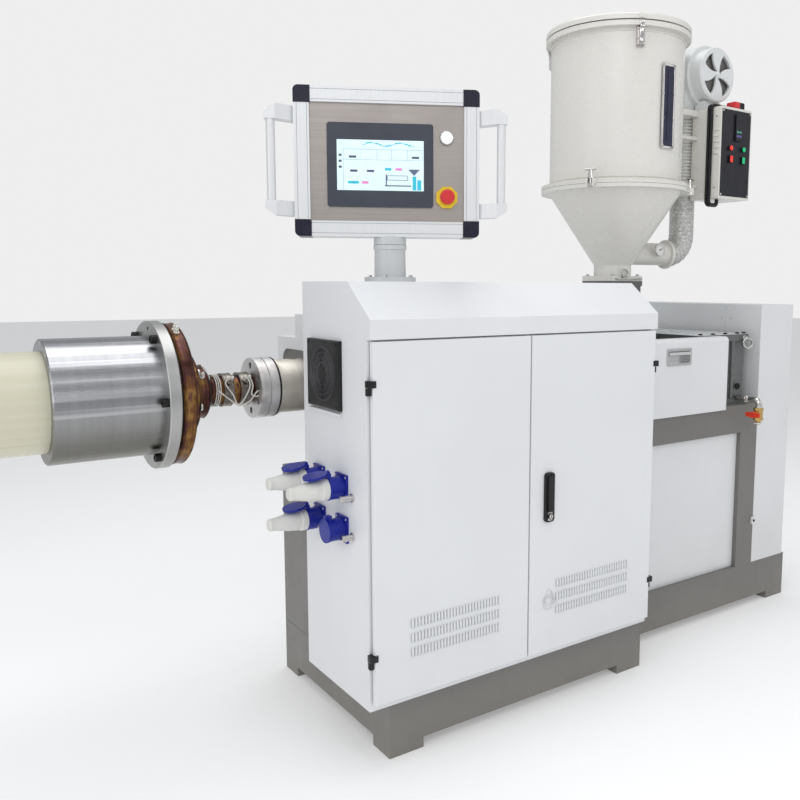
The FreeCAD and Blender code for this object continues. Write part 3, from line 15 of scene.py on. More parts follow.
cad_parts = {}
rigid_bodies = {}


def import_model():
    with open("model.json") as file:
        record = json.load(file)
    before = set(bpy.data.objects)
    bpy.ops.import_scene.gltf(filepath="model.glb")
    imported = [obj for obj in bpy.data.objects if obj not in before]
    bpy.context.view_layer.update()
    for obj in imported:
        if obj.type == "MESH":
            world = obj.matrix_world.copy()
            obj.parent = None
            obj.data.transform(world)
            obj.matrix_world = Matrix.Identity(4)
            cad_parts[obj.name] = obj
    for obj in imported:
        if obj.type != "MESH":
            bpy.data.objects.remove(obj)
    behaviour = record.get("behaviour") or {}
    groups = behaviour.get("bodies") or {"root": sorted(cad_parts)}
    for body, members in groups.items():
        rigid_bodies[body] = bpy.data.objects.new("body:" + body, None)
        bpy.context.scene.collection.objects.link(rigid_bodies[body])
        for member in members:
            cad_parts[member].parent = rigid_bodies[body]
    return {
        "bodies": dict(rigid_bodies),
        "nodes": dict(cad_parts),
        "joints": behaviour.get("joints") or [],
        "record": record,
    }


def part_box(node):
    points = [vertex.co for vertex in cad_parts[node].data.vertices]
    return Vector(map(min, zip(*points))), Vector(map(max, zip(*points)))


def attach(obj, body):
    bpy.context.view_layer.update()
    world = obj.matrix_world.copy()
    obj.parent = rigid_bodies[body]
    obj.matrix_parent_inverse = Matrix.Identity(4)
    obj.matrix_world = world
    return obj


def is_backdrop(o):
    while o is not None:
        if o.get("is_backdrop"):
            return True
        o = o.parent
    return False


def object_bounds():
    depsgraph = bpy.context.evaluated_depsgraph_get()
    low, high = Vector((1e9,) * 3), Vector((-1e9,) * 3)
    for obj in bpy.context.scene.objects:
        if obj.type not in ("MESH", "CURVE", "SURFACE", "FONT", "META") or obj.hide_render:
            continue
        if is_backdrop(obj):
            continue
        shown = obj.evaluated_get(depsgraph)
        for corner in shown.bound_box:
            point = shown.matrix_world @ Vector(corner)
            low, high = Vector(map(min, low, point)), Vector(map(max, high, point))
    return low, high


LOG = logging.getLogger("extruder")
MM = 0.001
HOOD_PROUD = 19.5  # the hood's front ahead of the cabinet's, mm
LINE_Y, LINE_Z = 540.0, 1000.0  # the screw's line, mm from the datum
Colour = tuple[float, float, float]
Point = tuple[float, float, float]
DUST: Colour = (0.30, 0.27, 0.23)


class Axis(Enum):
    """Directions that a head, disc or grain can face."""

    LEFT = (-1.0, 0.0, 0.0)
    RIGHT = (1.0, 0.0, 0.0)
    FRONT = (0.0, -1.0, 0.0)
    UP = (0.0, 0.0, 1.0)
    DOWN = (0.0, 0.0, -1.0)

    def vector(self) -> Vector:
        """Give the direction as a vector."""
        return Vector(self.value)


class HeadKind(Enum):
    """Kinds of fastener head used on the machine."""

    SOCKET = "socket"
    HEX = "hex"
    PAN = "pan"


# ------------------------------------------------------------------ places


@dataclass(frozen=True)
class Datum:
    """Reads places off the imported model; millimetres run from the cabinet's front left foot."""

    x0: float
    y0: float

    @staticmethod
    def read() -> "Datum":
        """Find the cabinet's front left edge.

        Returns:
            The datum whose zero is that edge at floor level.
        """
        low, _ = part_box("cabinet_hood")
        return Datum(low.x, low.y + HOOD_PROUD * MM)

    def at(self, x: float, y: float, z: float) -> Vector:
        """Turn millimetres from the datum into the model's metres.

        Args:
            x: Distance along the cabinet's front.
            y: Distance away from the operator.
            z: Height above the floor.

        Returns:
            The point in metres.
        """
        return Vector((self.x0 + x * MM, self.y0 + y * MM, z * MM))

    def round_line(self, x: float, radius: float, degrees: float) -> Vector:
        """Give a point on a circle round the screw's line.

        Args:
            x: Distance along the cabinet's front.
            radius: Radius of the circle.
            degrees: Angle above straight back.

        Returns:
            The point in metres.
        """
        angle = math.radians(degrees)
        return self.at(x, LINE_Y + radius * math.cos(angle), LINE_Z + radius * math.sin(angle))


def mm(x: float, y: float, z: float) -> Vector:
    """Give a point or a size in metres from its millimetres."""
    return Vector((x, y, z)) * MM


# ------------------------------------------------------------------ shader layout


def shade(colour: Colour, share: float) -> Colour:
    """Darken a colour to a share of itself."""
    return tuple(c * share for c in colour)


class Shader:
    """Lays out the nodes of one procedural finish."""

    def __init__(self, name: str, colour: Colour, roughness: float, metallic: float = 0.0) -> None:
        """Start a finish from its plain values.

        Args:
            name: Name of the material.
            colour: Linear base colour.
            roughness: Roughness of the whole surface.
            metallic: 1 for bare metal, 0 for anything else.
        """
        self.material = bpy.data.materials.new(name)
        self.material.use_nodes = True
        self.tree = self.material.node_tree
        self.surface = self.tree.nodes["Principled BSDF"]
        self.surface.inputs["Base Color"].default_value = (*colour, 1.0)
        self.surface.inputs["Roughness"].default_value = roughness
        self.surface.inputs["Metallic"].default_value = metallic
        self.coordinates = self.tree.nodes.new("ShaderNodeTexCoord")

    def put(self, kind: str, **values: Any) -> bpy.types.Node:
        """Add a node and set its options.

        Args:
            kind: Blender's name of the node type.
            **values: Attributes to set on the node.

        Returns:
            The new node.
        """
        node = self.tree.nodes.new(kind)
        for key, value in values.items():
            setattr(node, key, value)
        return node

    def join(self, source: Any, target: Any) -> None:
        """Link an output socket to an input socket."""
        self.tree.links.new(source, target)

    def place(self, scale: Point = (1.0, 1.0, 1.0), centre: Vector | None = None) -> Any:
        """Scale the object's own coordinates about a centre.

        Args:
            scale: Factor along each axis.
            centre: Point that becomes zero.

        Returns:
            The vector socket.
        """
        node = self.put("ShaderNodeMapping")
        node.inputs["Scale"].default_value = scale
        if centre is not None:
            node.inputs["Location"].default_value = tuple(-c * s for c, s in zip(centre, scale))
        self.join(self.coordinates.outputs["Object"], node.inputs["Vector"])
        return node.outputs["Vector"]

    def height(self) -> Any:
        """Give the socket of a point's height in the object's own coordinates."""
        split = self.put("ShaderNodeSeparateXYZ")
        self.join(self.coordinates.outputs["Object"], split.inputs[0])
        return split.outputs["Z"]

    def reckon(self, operation: str, first: Any, second: Any) -> Any:
        """Work out a sum or a product.

        Args:
            operation: Blender's name of the sum.
            first: Socket of the first value.
            second: Socket of the second value.

        Returns:
            The value socket.
        """
        node = self.put("ShaderNodeMath", operation=operation)
        self.join(first, node.inputs[0])
        self.join(second, node.inputs[1])
        return node.outputs[0]

    def noise(self, scale: float, detail: float = 3.0, vector: Any = None) -> Any:
        """Add a cloud pattern.

        Args:
            scale: Cycles per metre.
            detail: Octaves.
            vector: Coordinates, or none for the object's own.

        Returns:
            The factor socket.
        """
        node = self.put("ShaderNodeTexNoise")
        node.inputs["Scale"].default_value = scale
        node.inputs["Detail"].default_value = detail
        self.join(vector or self.coordinates.outputs["Object"], node.inputs["Vector"])
        return node.outputs["Fac"]

    def around(self, centre: Vector, scale: float, detail: float = 2.0) -> Any:
        """Add a pattern of rings about an axis that runs left to right.

        Args:
            centre: A point on the axis.
            scale: Cycles per metre along the axis and the radius.
            detail: Octaves.

        Returns:
            The factor socket.
        """
        split = self.put("ShaderNodeSeparateXYZ")
        self.join(self.place(centre=centre), split.inputs[0])
        flat = self.put("ShaderNodeCombineXYZ")
        self.join(split.outputs["Y"], flat.inputs["Y"])
        self.join(split.outputs["Z"], flat.inputs["Z"])
        length = self.put("ShaderNodeVectorMath", operation="LENGTH")
        self.join(flat.outputs[0], length.inputs[0])
        total = self.reckon("ADD", split.outputs["X"], length.outputs["Value"])
        node = self.put("ShaderNodeTexNoise", noise_dimensions="1D")
        node.inputs["Scale"].default_value = scale
        node.inputs["Detail"].default_value = detail
        self.join(total, node.inputs["W"])
        return node.outputs["Fac"]

    def ramp(self, factor: Any, stops: Sequence[tuple[float, Colour]]) -> Any:
        """Turn a factor into colours.

        Args:
            factor: Socket to read.
            stops: Positions and linear colours, lowest first.

        Returns:
            The colour socket.
        """
        node = self.put("ShaderNodeValToRGB")
        elements = node.color_ramp.elements
        while len(elements) < len(stops):
            elements.new(0.5)
        for element, (position, colour) in zip(elements, stops):
            element.position = position
            element.color = (*colour, 1.0)
        self.join(factor, node.inputs["Fac"])
        return node.outputs["Color"]

    def span(self, factor: Any, low: float, high: float, out_low: float, out_high: float) -> Any:
        """Map a range of a factor to another range, held at its ends.

        Args:
            factor: Socket to read.
            low: Factor that gives out_low.
            high: Factor that gives out_high.
            out_low: First value.
            out_high: Last value.

        Returns:
            The value socket.
        """
        node = self.put("ShaderNodeMapRange")
        self.join(factor, node.inputs["Value"])
        for name, value in (("From Min", low), ("From Max", high), ("To Min", out_low), ("To Max", out_high)):
            node.inputs[name].default_value = value
        return node.outputs["Result"]

    def blend(self, factor: Any, first: Any, second: Any) -> Any:
        """Mix two colours, each a socket or a plain colour.

        Args:
            factor: Socket that gives the second colour's share.
            first: Colour or socket at 0.
            second: Colour or socket at 1.

        Returns:
            The colour socket.
        """
        node = self.put("ShaderNodeMix", data_type="RGBA")
        self.join(factor, node.inputs["Factor"])
        for index, value in ((6, first), (7, second)):
            if isinstance(value, tuple):
                node.inputs[index].default_value = (*value, 1.0)
            else:
                self.join(value, node.inputs[index])
        return node.outputs[2]

    def colour(self, socket: Any) -> None:
        """Send a colour to the surface."""
        self.join(socket, self.surface.inputs["Base Color"])

    def roughness(self, socket: Any) -> None:
        """Send a roughness to the surface."""
        self.join(socket, self.surface.inputs["Roughness"])

    def relief(self, height: Any, distance: float, strength: float = 1.0) -> None:
        """Raise fine relief, added to any that is already there.

        Args:
            height: Height socket.
            distance: Height of the relief in metres.
            strength: Share of the relief that shows.
        """
        bump = self.put("ShaderNodeBump")
        bump.inputs["Distance"].default_value = distance
        bump.inputs["Strength"].default_value = strength
        self.join(height, bump.inputs["Height"])
        earlier = self.surface.inputs["Normal"].links
        if earlier:
            self.join(earlier[0].from_socket, bump.inputs["Normal"])
        self.join(bump.outputs["Normal"], self.surface.inputs["Normal"])


# ------------------------------------------------------------------ finishes


@dataclass(frozen=True)
class Paint:
    """Sprayed or powder-coated sheet and castings, with orange peel, handling marks and floor dust."""

    name: str
    colour: Colour
    roughness: float = 0.42
    mottling: float = 0.05
    peel: float = 0.00004
    peel_scale: float = 620.0
    dust: float = 0.0
    dust_top: float = 0.35
    scuffs: float = 0.25

    def make(self) -> bpy.types.Material:
        """Build the painted finish.

        Returns:
            The material.
        """
        shader = Shader(self.name, self.colour, self.roughness)
        darker = shade(self.colour, 1 - 2 * self.mottling)
        cloud = shader.noise(2.3, 4.0)
        tone = shader.blend(shader.span(cloud, 0.35, 0.7, 0.0, 1.0), self.colour, darker)
        streak = shader.noise(1.0, 5.0, shader.place((26.0, 26.0, 2.2)))
        streak_share = shader.span(streak, 0.60, 0.78, 0.0, self.scuffs)
        worn = shade(self.colour, 0.80)
        tone = shader.blend(streak_share, tone, worn)
        if self.dust > 0:
            low = shader.span(shader.height(), 0.0, self.dust_top, self.dust, 0.0)
            patch = shader.span(shader.noise(9.0, 6.0), 0.3, 0.7, 0.35, 1.0)
            share = shader.reckon("MULTIPLY", low, patch)
            tone = shader.blend(share, tone, DUST)
        shader.colour(tone)
        shader.roughness(shader.span(shader.noise(14.0, 4.0), 0.3, 0.7,
                                     self.roughness - 0.06, self.roughness + 0.08))
        shader.relief(shader.noise(self.peel_scale, 2.0), self.peel, 0.5)
        return shader.material


@dataclass(frozen=True)
class Plastic:
    """Moulded plastic or rubber with a fine grain and small shifts of shade."""

    name: str
    colour: Colour
    roughness: float = 0.38
    grain: float = 0.00003
    grain_scale: float = 1400.0
    shift: float = 0.10

    def make(self) -> bpy.types.Material:
        """Build the moulded finish.

        Returns:
            The material.
        """
        shader = Shader(self.name, self.colour, self.roughness)
        shader.surface.inputs["Specular IOR Level"].default_value = 0.3
        second = tuple(min(1.0, c * (1 + self.shift) + 0.004) for c in self.colour)
        shader.colour(shader.blend(shader.span(shader.noise(22.0, 4.0), 0.35, 0.7, 0.0, 1.0),
                                   self.colour, second))
        shader.roughness(shader.span(shader.noise(45.0, 3.0), 0.3, 0.7,
                                     self.roughness - 0.05, self.roughness + 0.09))
        shader.relief(shader.noise(self.grain_scale, 2.0), self.grain, 0.6)
        return shader.material


@dataclass(frozen=True)
class TurnedMetal:
    """Lathe-turned metal whose grooves run round the screw's line."""

    name: str
    colour: Colour
    centre: Vector
    roughness: float = 0.26
    band: float = 0.10
    # A stain colour; where there are streaks it is the painted shade of the lower part instead.
    stain_and_shade: Colour = (0.20, 0.14, 0.09)
    stain_share: float = 0.2
    groove: float = 0.00003
    streaks: float = 0.0

    def make(self) -> bpy.types.Material:
        """Build the turned finish.

        Returns:
            The material.
        """
        shader = Shader(self.name, self.colour, self.roughness, 1.0)
        fine = shader.around(self.centre, 900.0, 3.0)
        wide = shader.around(self.centre, 34.0, 2.0)
        dark = shade(self.colour, 1 - 2.2 * self.band)
        tone = shader.blend(shader.span(wide, 0.3, 0.7, 0.0, 1.0), self.colour, dark)
        tone = shader.blend(shader.span(fine, 0.3, 0.7, 0.0, 0.45), tone, dark)
        mark = shader.noise(11.0, 7.0)
        if self.streaks > 0:
            mark = shader.noise(1.0, 3.0, shader.place((0.4, 30.0, 30.0), self.centre))
            light = tuple(min(1.0, c * 1.5) for c in self.colour)
            tone = shader.blend(shader.span(mark, 0.36, 0.46, self.streaks, 0.0), tone, dark)
            tone = shader.blend(shader.span(mark, 0.56, 0.64, 0.0, self.streaks), tone, light)
            # Painted shade: with streaks, the colour darkens towards the bottom, standing in for darker surroundings
            # that the sleeve reflects; the stain colour is this shade.
            low = shader.span(shader.height(), self.centre.z - 0.13, self.centre.z + 0.02, 0.85, 0.0)
            tone = shader.blend(low, tone, self.stain_and_shade)
        else:
            tone = shader.blend(shader.span(mark, 0.52, 0.74, 0.0, self.stain_share), tone, self.stain_and_shade)
        shader.colour(tone)
        shader.roughness(shader.span(mark, 0.3, 0.72, self.roughness - 0.03, self.roughness + 0.08))
        shader.relief(fine, self.groove, 0.7)
        return shader.material


@dataclass(frozen=True)
class HeatTint:
    """Steel coloured gold, brown and violet by running hot."""

    name: str
    centre: Vector
    roughness: float = 0.30

    def make(self) -> bpy.types.Material:
        """Build the tempered finish.

        Returns:
            The material.
        """
        shader = Shader(self.name, (0.24, 0.14, 0.09), self.roughness, 1.0)
        rings = shader.around(self.centre, 42.0, 3.0)
        cloud = shader.noise(15.0, 5.0)
        total = shader.reckon("ADD", shader.span(rings, 0.25, 0.75, 0.0, 0.45),
                              shader.span(cloud, 0.3, 0.7, 0.0, 0.55))
        shader.colour(shader.ramp(total, (
            (0.10, (0.022, 0.012, 0.010)), (0.30, (0.060, 0.028, 0.018)), (0.42, (0.085, 0.036, 0.040)),
            (0.54, (0.16, 0.075, 0.030)), (0.66, (0.32, 0.18, 0.06)), (0.74, (0.13, 0.055, 0.050)),
            (0.92, (0.050, 0.028, 0.045)))))
        shader.roughness(shader.span(cloud, 0.3, 0.7, self.roughness - 0.06, self.roughness + 0.2))
        shader.relief(shader.around(self.centre, 700.0, 2.0), 0.00003, 0.6)
        return shader.material


@dataclass(frozen=True)
class BrushedMetal:
    """Sheet or bar metal brushed along one direction."""

    name: str
    colour: Colour
    stretch: Point
    roughness: float = 0.32
    contrast: float = 0.16
    smear: float = 0.15
    metallic: float = 1.0

    def make(self) -> bpy.types.Material:
        """Build the brushed finish.

        Returns:
            The material.
        """
        shader = Shader(self.name, self.colour, self.roughness, self.metallic)
        grain = shader.noise(1.0, 4.0, shader.place(self.stretch))
        dark = shade(self.colour, 1 - self.contrast)
        tone = shader.blend(shader.span(grain, 0.3, 0.7, 0.0, 1.0), self.colour, dark)
        smudge = shade(self.colour, 0.72)
        tone = shader.blend(shader.span(shader.noise(7.0, 4.0), 0.5, 0.8, 0.0, self.smear), tone, smudge)
        shader.colour(tone)
        shader.roughness(shader.span(grain, 0.3, 0.7, self.roughness - 0.06, self.roughness + 0.10))
        shader.relief(grain, 0.00002, 0.5)
        return shader.material


@dataclass(frozen=True)
class Lamp:
    """Lit lens or screen field with a slightly uneven glow."""

    name: str
    colour: Colour
    glow: float = 1.0
    roughness: float = 0.2

    def make(self) -> bpy.types.Material:
        """Build the lit finish.

        Returns:
            The material.
        """
        shader = Shader(self.name, self.colour, self.roughness)
        near = shade(self.colour, 0.93)
        tone = shader.blend(shader.span(shader.noise(40.0, 2.0), 0.3, 0.7, 0.0, 1.0), self.colour, near)
        shader.colour(tone)
        shader.join(tone, shader.surface.inputs["Emission Color"])
        shader.surface.inputs["Emission Strength"].default_value = self.glow
        return shader.material


@dataclass(frozen=True)
class ExtrudedPipeFinish:
    """Milky plastic pipe with drawn streaks along its run."""

    name: str = "milky_pipe"
    colour: Colour = (0.62, 0.60, 0.45)

    def make(self) -> bpy.types.Material:
        """Build the pipe finish.

        Returns:
            The material.
        """
        shader = Shader(self.name, self.colour, 0.34)
        shader.surface.inputs["Subsurface Weight"].default_value = 0.12
        shader.surface.inputs["Subsurface Radius"].default_value = (0.02, 0.018, 0.012)
        streak = shader.noise(1.0, 4.0, shader.place((1.5, 60.0, 60.0)))
        tone = shader.blend(shader.span(streak, 0.3, 0.7, 0.0, 1.0), self.colour, (0.66, 0.64, 0.51))
        shader.colour(tone)
        shader.roughness(shader.span(streak, 0.3, 0.7, 0.26, 0.44))
        shader.relief(shader.noise(60.0, 3.0), 0.0001, 0.3)
        return shader.material


@dataclass(frozen=True)
class Foil:
    """Crinkled silver insulation wrapped round a hose."""

    name: str = "foil_wrap"
    colour: Colour = (0.66, 0.66, 0.64)

    def make(self) -> bpy.types.Material:
        """Build the foil finish.

        Returns:
            The material.
        """
        shader = Shader(self.name, self.colour, 0.36, 0.55)
        crease = shader.put("ShaderNodeTexVoronoi", feature="DISTANCE_TO_EDGE")
        crease.inputs["Scale"].default_value = 62.0
        shader.join(shader.coordinates.outputs["Object"], crease.inputs["Vector"])
        edge = shader.span(crease.outputs["Distance"], 0.0, 0.16, 0.0, 1.0)
        # Painted shade: the colour darkens along the creases.
        shader.colour(shader.blend(edge, (0.46, 0.46, 0.44), self.colour))
        shader.relief(edge, 0.0012, 0.6)
        shader.relief(shader.noise(150.0, 4.0), 0.0008, 0.6)
        return shader.material


class Finishes:
    """Makes each finish once and hands it out by name."""

    def __init__(self, datum: Datum) -> None:
        """Build every finish.

        Args:
            datum: Places on the machine.
        """
        line = datum.at(0, LINE_Y, LINE_Z)
        recipes = (
            Paint("frame_enamel", (0.185, 0.178, 0.166), 0.40, 0.06, 0.00006, 420.0, 0.45, 0.16, 0.35),
            Paint("white_powder_coat", (0.80, 0.81, 0.83), 0.44, 0.02, 0.00005, 520.0, 0.10, 0.40, 0.06),
            Paint("guard_white", (0.76, 0.77, 0.78), 0.42, 0.03, 0.00005, 520.0, 0.12, 0.45, 0.12),
            Paint("dryer_enamel", (0.75, 0.735, 0.69), 0.27, 0.004, 0.00002, 200.0, 0.0, 0.3, 0.012),
            Paint("gearbox_enamel", (0.125, 0.132, 0.130), 0.30, 0.10, 0.0002, 260.0, 0.0, 0.3, 0.3),
            Paint("post_enamel", (0.60, 0.62, 0.63), 0.26, 0.03, 0.00004, 420.0, 0.0, 0.3, 0.10),
            Paint("blower_enamel", (0.74, 0.76, 0.76), 0.34, 0.04, 0.00004, 520.0, 0.0, 0.3, 0.15),
            Plastic("black_moulding", (0.012, 0.012, 0.013), 0.36),
            # Painted sheen: the grille's grey is lighter than the black plate, standing in for highlights on its glossy
            # rings.
            Plastic("grille_gloss_painted_sheen", (0.09, 0.09, 0.10), 0.15),
            # Grey for painted shadow beside the louvres and under the vents, and for the real scuff on the right door.
            Plastic("shade_and_scuff_grey", (0.52, 0.53, 0.54), 0.55),
            Plastic("black_rubber", (0.010, 0.010, 0.011), 0.50),
            Plastic("printed_black", (0.010, 0.010, 0.015), 0.34, 0.00001, 500.0, 0.2),
            Plastic("socket_blue", (0.006, 0.015, 0.25), 0.30, 0.00002, 900.0, 0.18),
            Plastic("plug_white", (0.70, 0.70, 0.66), 0.42, 0.00006, 500.0, 0.05),
            Plastic("white_moulding", (0.74, 0.74, 0.72), 0.40),
            Plastic("cap_navy", (0.008, 0.009, 0.022), 0.26, 0.00002, 900.0, 0.2),
            Plastic("bezel_slate", (0.050, 0.056, 0.075), 0.34, 0.00002, 1200.0, 0.08),
            Plastic("collar_yellow", (0.78, 0.56, 0.03), 0.30),
            Plastic("stop_red", (0.62, 0.035, 0.04), 0.28),
            Plastic("lever_red", (0.68, 0.05, 0.02), 0.30),
            Plastic("glass_dark", (0.008, 0.009, 0.035), 0.12, 0.00001, 300.0, 0.3),
            Plastic("mesh_grey", (0.17, 0.165, 0.155), 0.60, 0.0004, 900.0, 0.2),
            Plastic("shadow_gap", (0.006, 0.006, 0.006), 0.80),
            Plastic("heater_wire", (0.66, 0.65, 0.60), 0.55, 0.00008, 1600.0, 0.08),
            Plastic("ceramic", (0.68, 0.67, 0.62), 0.35, 0.0001, 300.0, 0.08),
            # The sleeve's stain colour (0.135, 0.13, 0.105) is painted shade on its lower part.
            TurnedMetal("turned_aluminium", (0.38, 0.385, 0.40), line, 0.27, 0.07, (0.135, 0.13, 0.105), 0.22,
                        0.00003, 0.85),
            TurnedMetal("turned_flange", (0.50, 0.50, 0.49), line, 0.38, 0.10, (0.24, 0.22, 0.19), 0.25),
            TurnedMetal("clamp_steel", (0.80, 0.79, 0.78), line, 0.46, 0.10, (0.24, 0.14, 0.10), 0.85),
            TurnedMetal("barrel_steel", (0.76, 0.72, 0.65), line, 0.50, 0.05, (0.20, 0.17, 0.13), 0.45),
            TurnedMetal("band_steel", (0.30, 0.27, 0.24), line, 0.34, 0.14, (0.20, 0.10, 0.05), 0.6),
            HeatTint("tempered_steel", line),
            BrushedMetal("panel_stainless", (0.40, 0.365, 0.345), (3.0, 3.0, 260.0), 0.40, 0.07, 0.45),
            BrushedMetal("profile_silver", (0.76, 0.77, 0.78), (700.0, 700.0, 5.0), 0.38, 0.05, 0.08, 0.35),
            BrushedMetal("latch_plate", (0.66, 0.63, 0.62), (300.0, 300.0, 20.0), 0.16, 0.12, 0.25),
            BrushedMetal("chrome_pull", (0.62, 0.62, 0.62), (6.0, 200.0, 200.0), 0.20, 0.06, 0.08),
            BrushedMetal("chrome_pipe", (0.72, 0.70, 0.67), (300.0, 10.0, 300.0), 0.14, 0.14, 0.2),
            BrushedMetal("cast_brass", (0.66, 0.46, 0.17), (120.0, 120.0, 120.0), 0.30, 0.18, 0.3),
            BrushedMetal("screw_zinc", (0.56, 0.56, 0.54), (500.0, 500.0, 500.0), 0.28, 0.18, 0.25),
            BrushedMetal("black_screw", (0.035, 0.033, 0.032), (500.0, 500.0, 500.0), 0.36, 0.2, 0.2),
            Lamp("start_glow", (0.80, 0.87, 1.0), 1.2),
            Lamp("lens_red", (0.80, 0.03, 0.02), 0.35),
            Lamp("lens_green", (0.0, 0.42, 0.16), 0.35),
            Lamp("digits_green", (0.05, 0.30, 0.22), 0.3),
            Lamp("digits_violet", (0.12, 0.10, 0.32), 0.3),
            Lamp("screen_field", (0.56, 0.70, 0.74), 0.50),
            Lamp("screen_cyan", (0.02, 0.42, 0.55), 0.4),
            Lamp("screen_pink", (0.62, 0.20, 0.46), 0.4),
            Lamp("screen_slate", (0.05, 0.07, 0.14), 0.15),
            Lamp("screen_rule", (0.22, 0.32, 0.40), 0.2),
            ExtrudedPipeFinish(),
            Foil(),
        )
        self.made = {recipe.name: recipe.make() for recipe in recipes}

    def get(self, name: str) -> bpy.types.Material:
        """Hand out a finish by its name."""
        return self.made[name]


# ------------------------------------------------------------------ mesh making


class Bench:
    """Makes meshes and keeps finished pieces on their bodies."""

    def __init__(self, datum: Datum, finishes: Finishes, nodes: dict[str, bpy.types.Object]) -> None:
        """Set up the bench.

        Args:
            datum: Places on the machine.
            finishes: Every finish.
            nodes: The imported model's objects by name.
        """
        self.datum = datum
        self.finishes = finishes
        self.nodes = nodes
        self.trees = Trees()

    def dress(self, finish: str, *names: str) -> None:
        """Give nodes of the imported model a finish.

        Args:
            finish: Name of the finish.
            *names: Nodes that take it.
        """
        for name in names:
            for slot in self.nodes[name].material_slots:
                slot.material = self.finishes.get(finish)
            if not self.nodes[name].material_slots:
                self.nodes[name].data.materials.append(self.finishes.get(finish))

    def keep(self, name: str, mesh: bpy.types.Mesh, finishes: Sequence[str], body: str, slot: str,
             smooth_below: float = 38.0) -> None:
        """Make a finished piece from a mesh and fix it to a body.

        Args:
            name: Name of the piece.
            mesh: Its mesh, already in place.
            finishes: Its finishes, in the order of the mesh's material indices.
            body: The body that carries it.
            slot: The record's slot; not used.
            smooth_below: Edges flatter than this many degrees are shaded smooth.
        """
        for index, finish in enumerate(finishes):
            if index < len(mesh.materials):
                mesh.materials[index] = self.finishes.get(finish)
            else:
                mesh.materials.append(self.finishes.get(finish))
        mesh.shade_smooth()
        mesh.set_sharp_from_angle(angle=math.radians(smooth_below))
        piece = bpy.data.objects.new(name, mesh)
        bpy.context.scene.collection.objects.link(piece)
        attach(piece, body)
        LOG.info("%s: %d faces on %s", name, len(mesh.polygons), body)

    def add(self, name: str, form: Form, finishes: Sequence[str], body: str, slot: str) -> None:
        """Keep the shapes of a form as one piece.

        Args:
            name: Name of the piece.
            form: Its shapes, already in place.
            finishes: Its finishes, in the order of the form's material indices.
            body: The body that carries it.
            slot: The record's slot, handed on to keep.
        """
        self.keep(name, form.mesh(name), finishes, body, slot)


def stand(base: Vector, axis: Vector) -> Matrix:
    """Give the transform that stands a shape made upright on a base, facing along an axis."""
    return Matrix.Translation(base) @ axis.to_track_quat("Z", "Y").to_matrix().to_4x4()


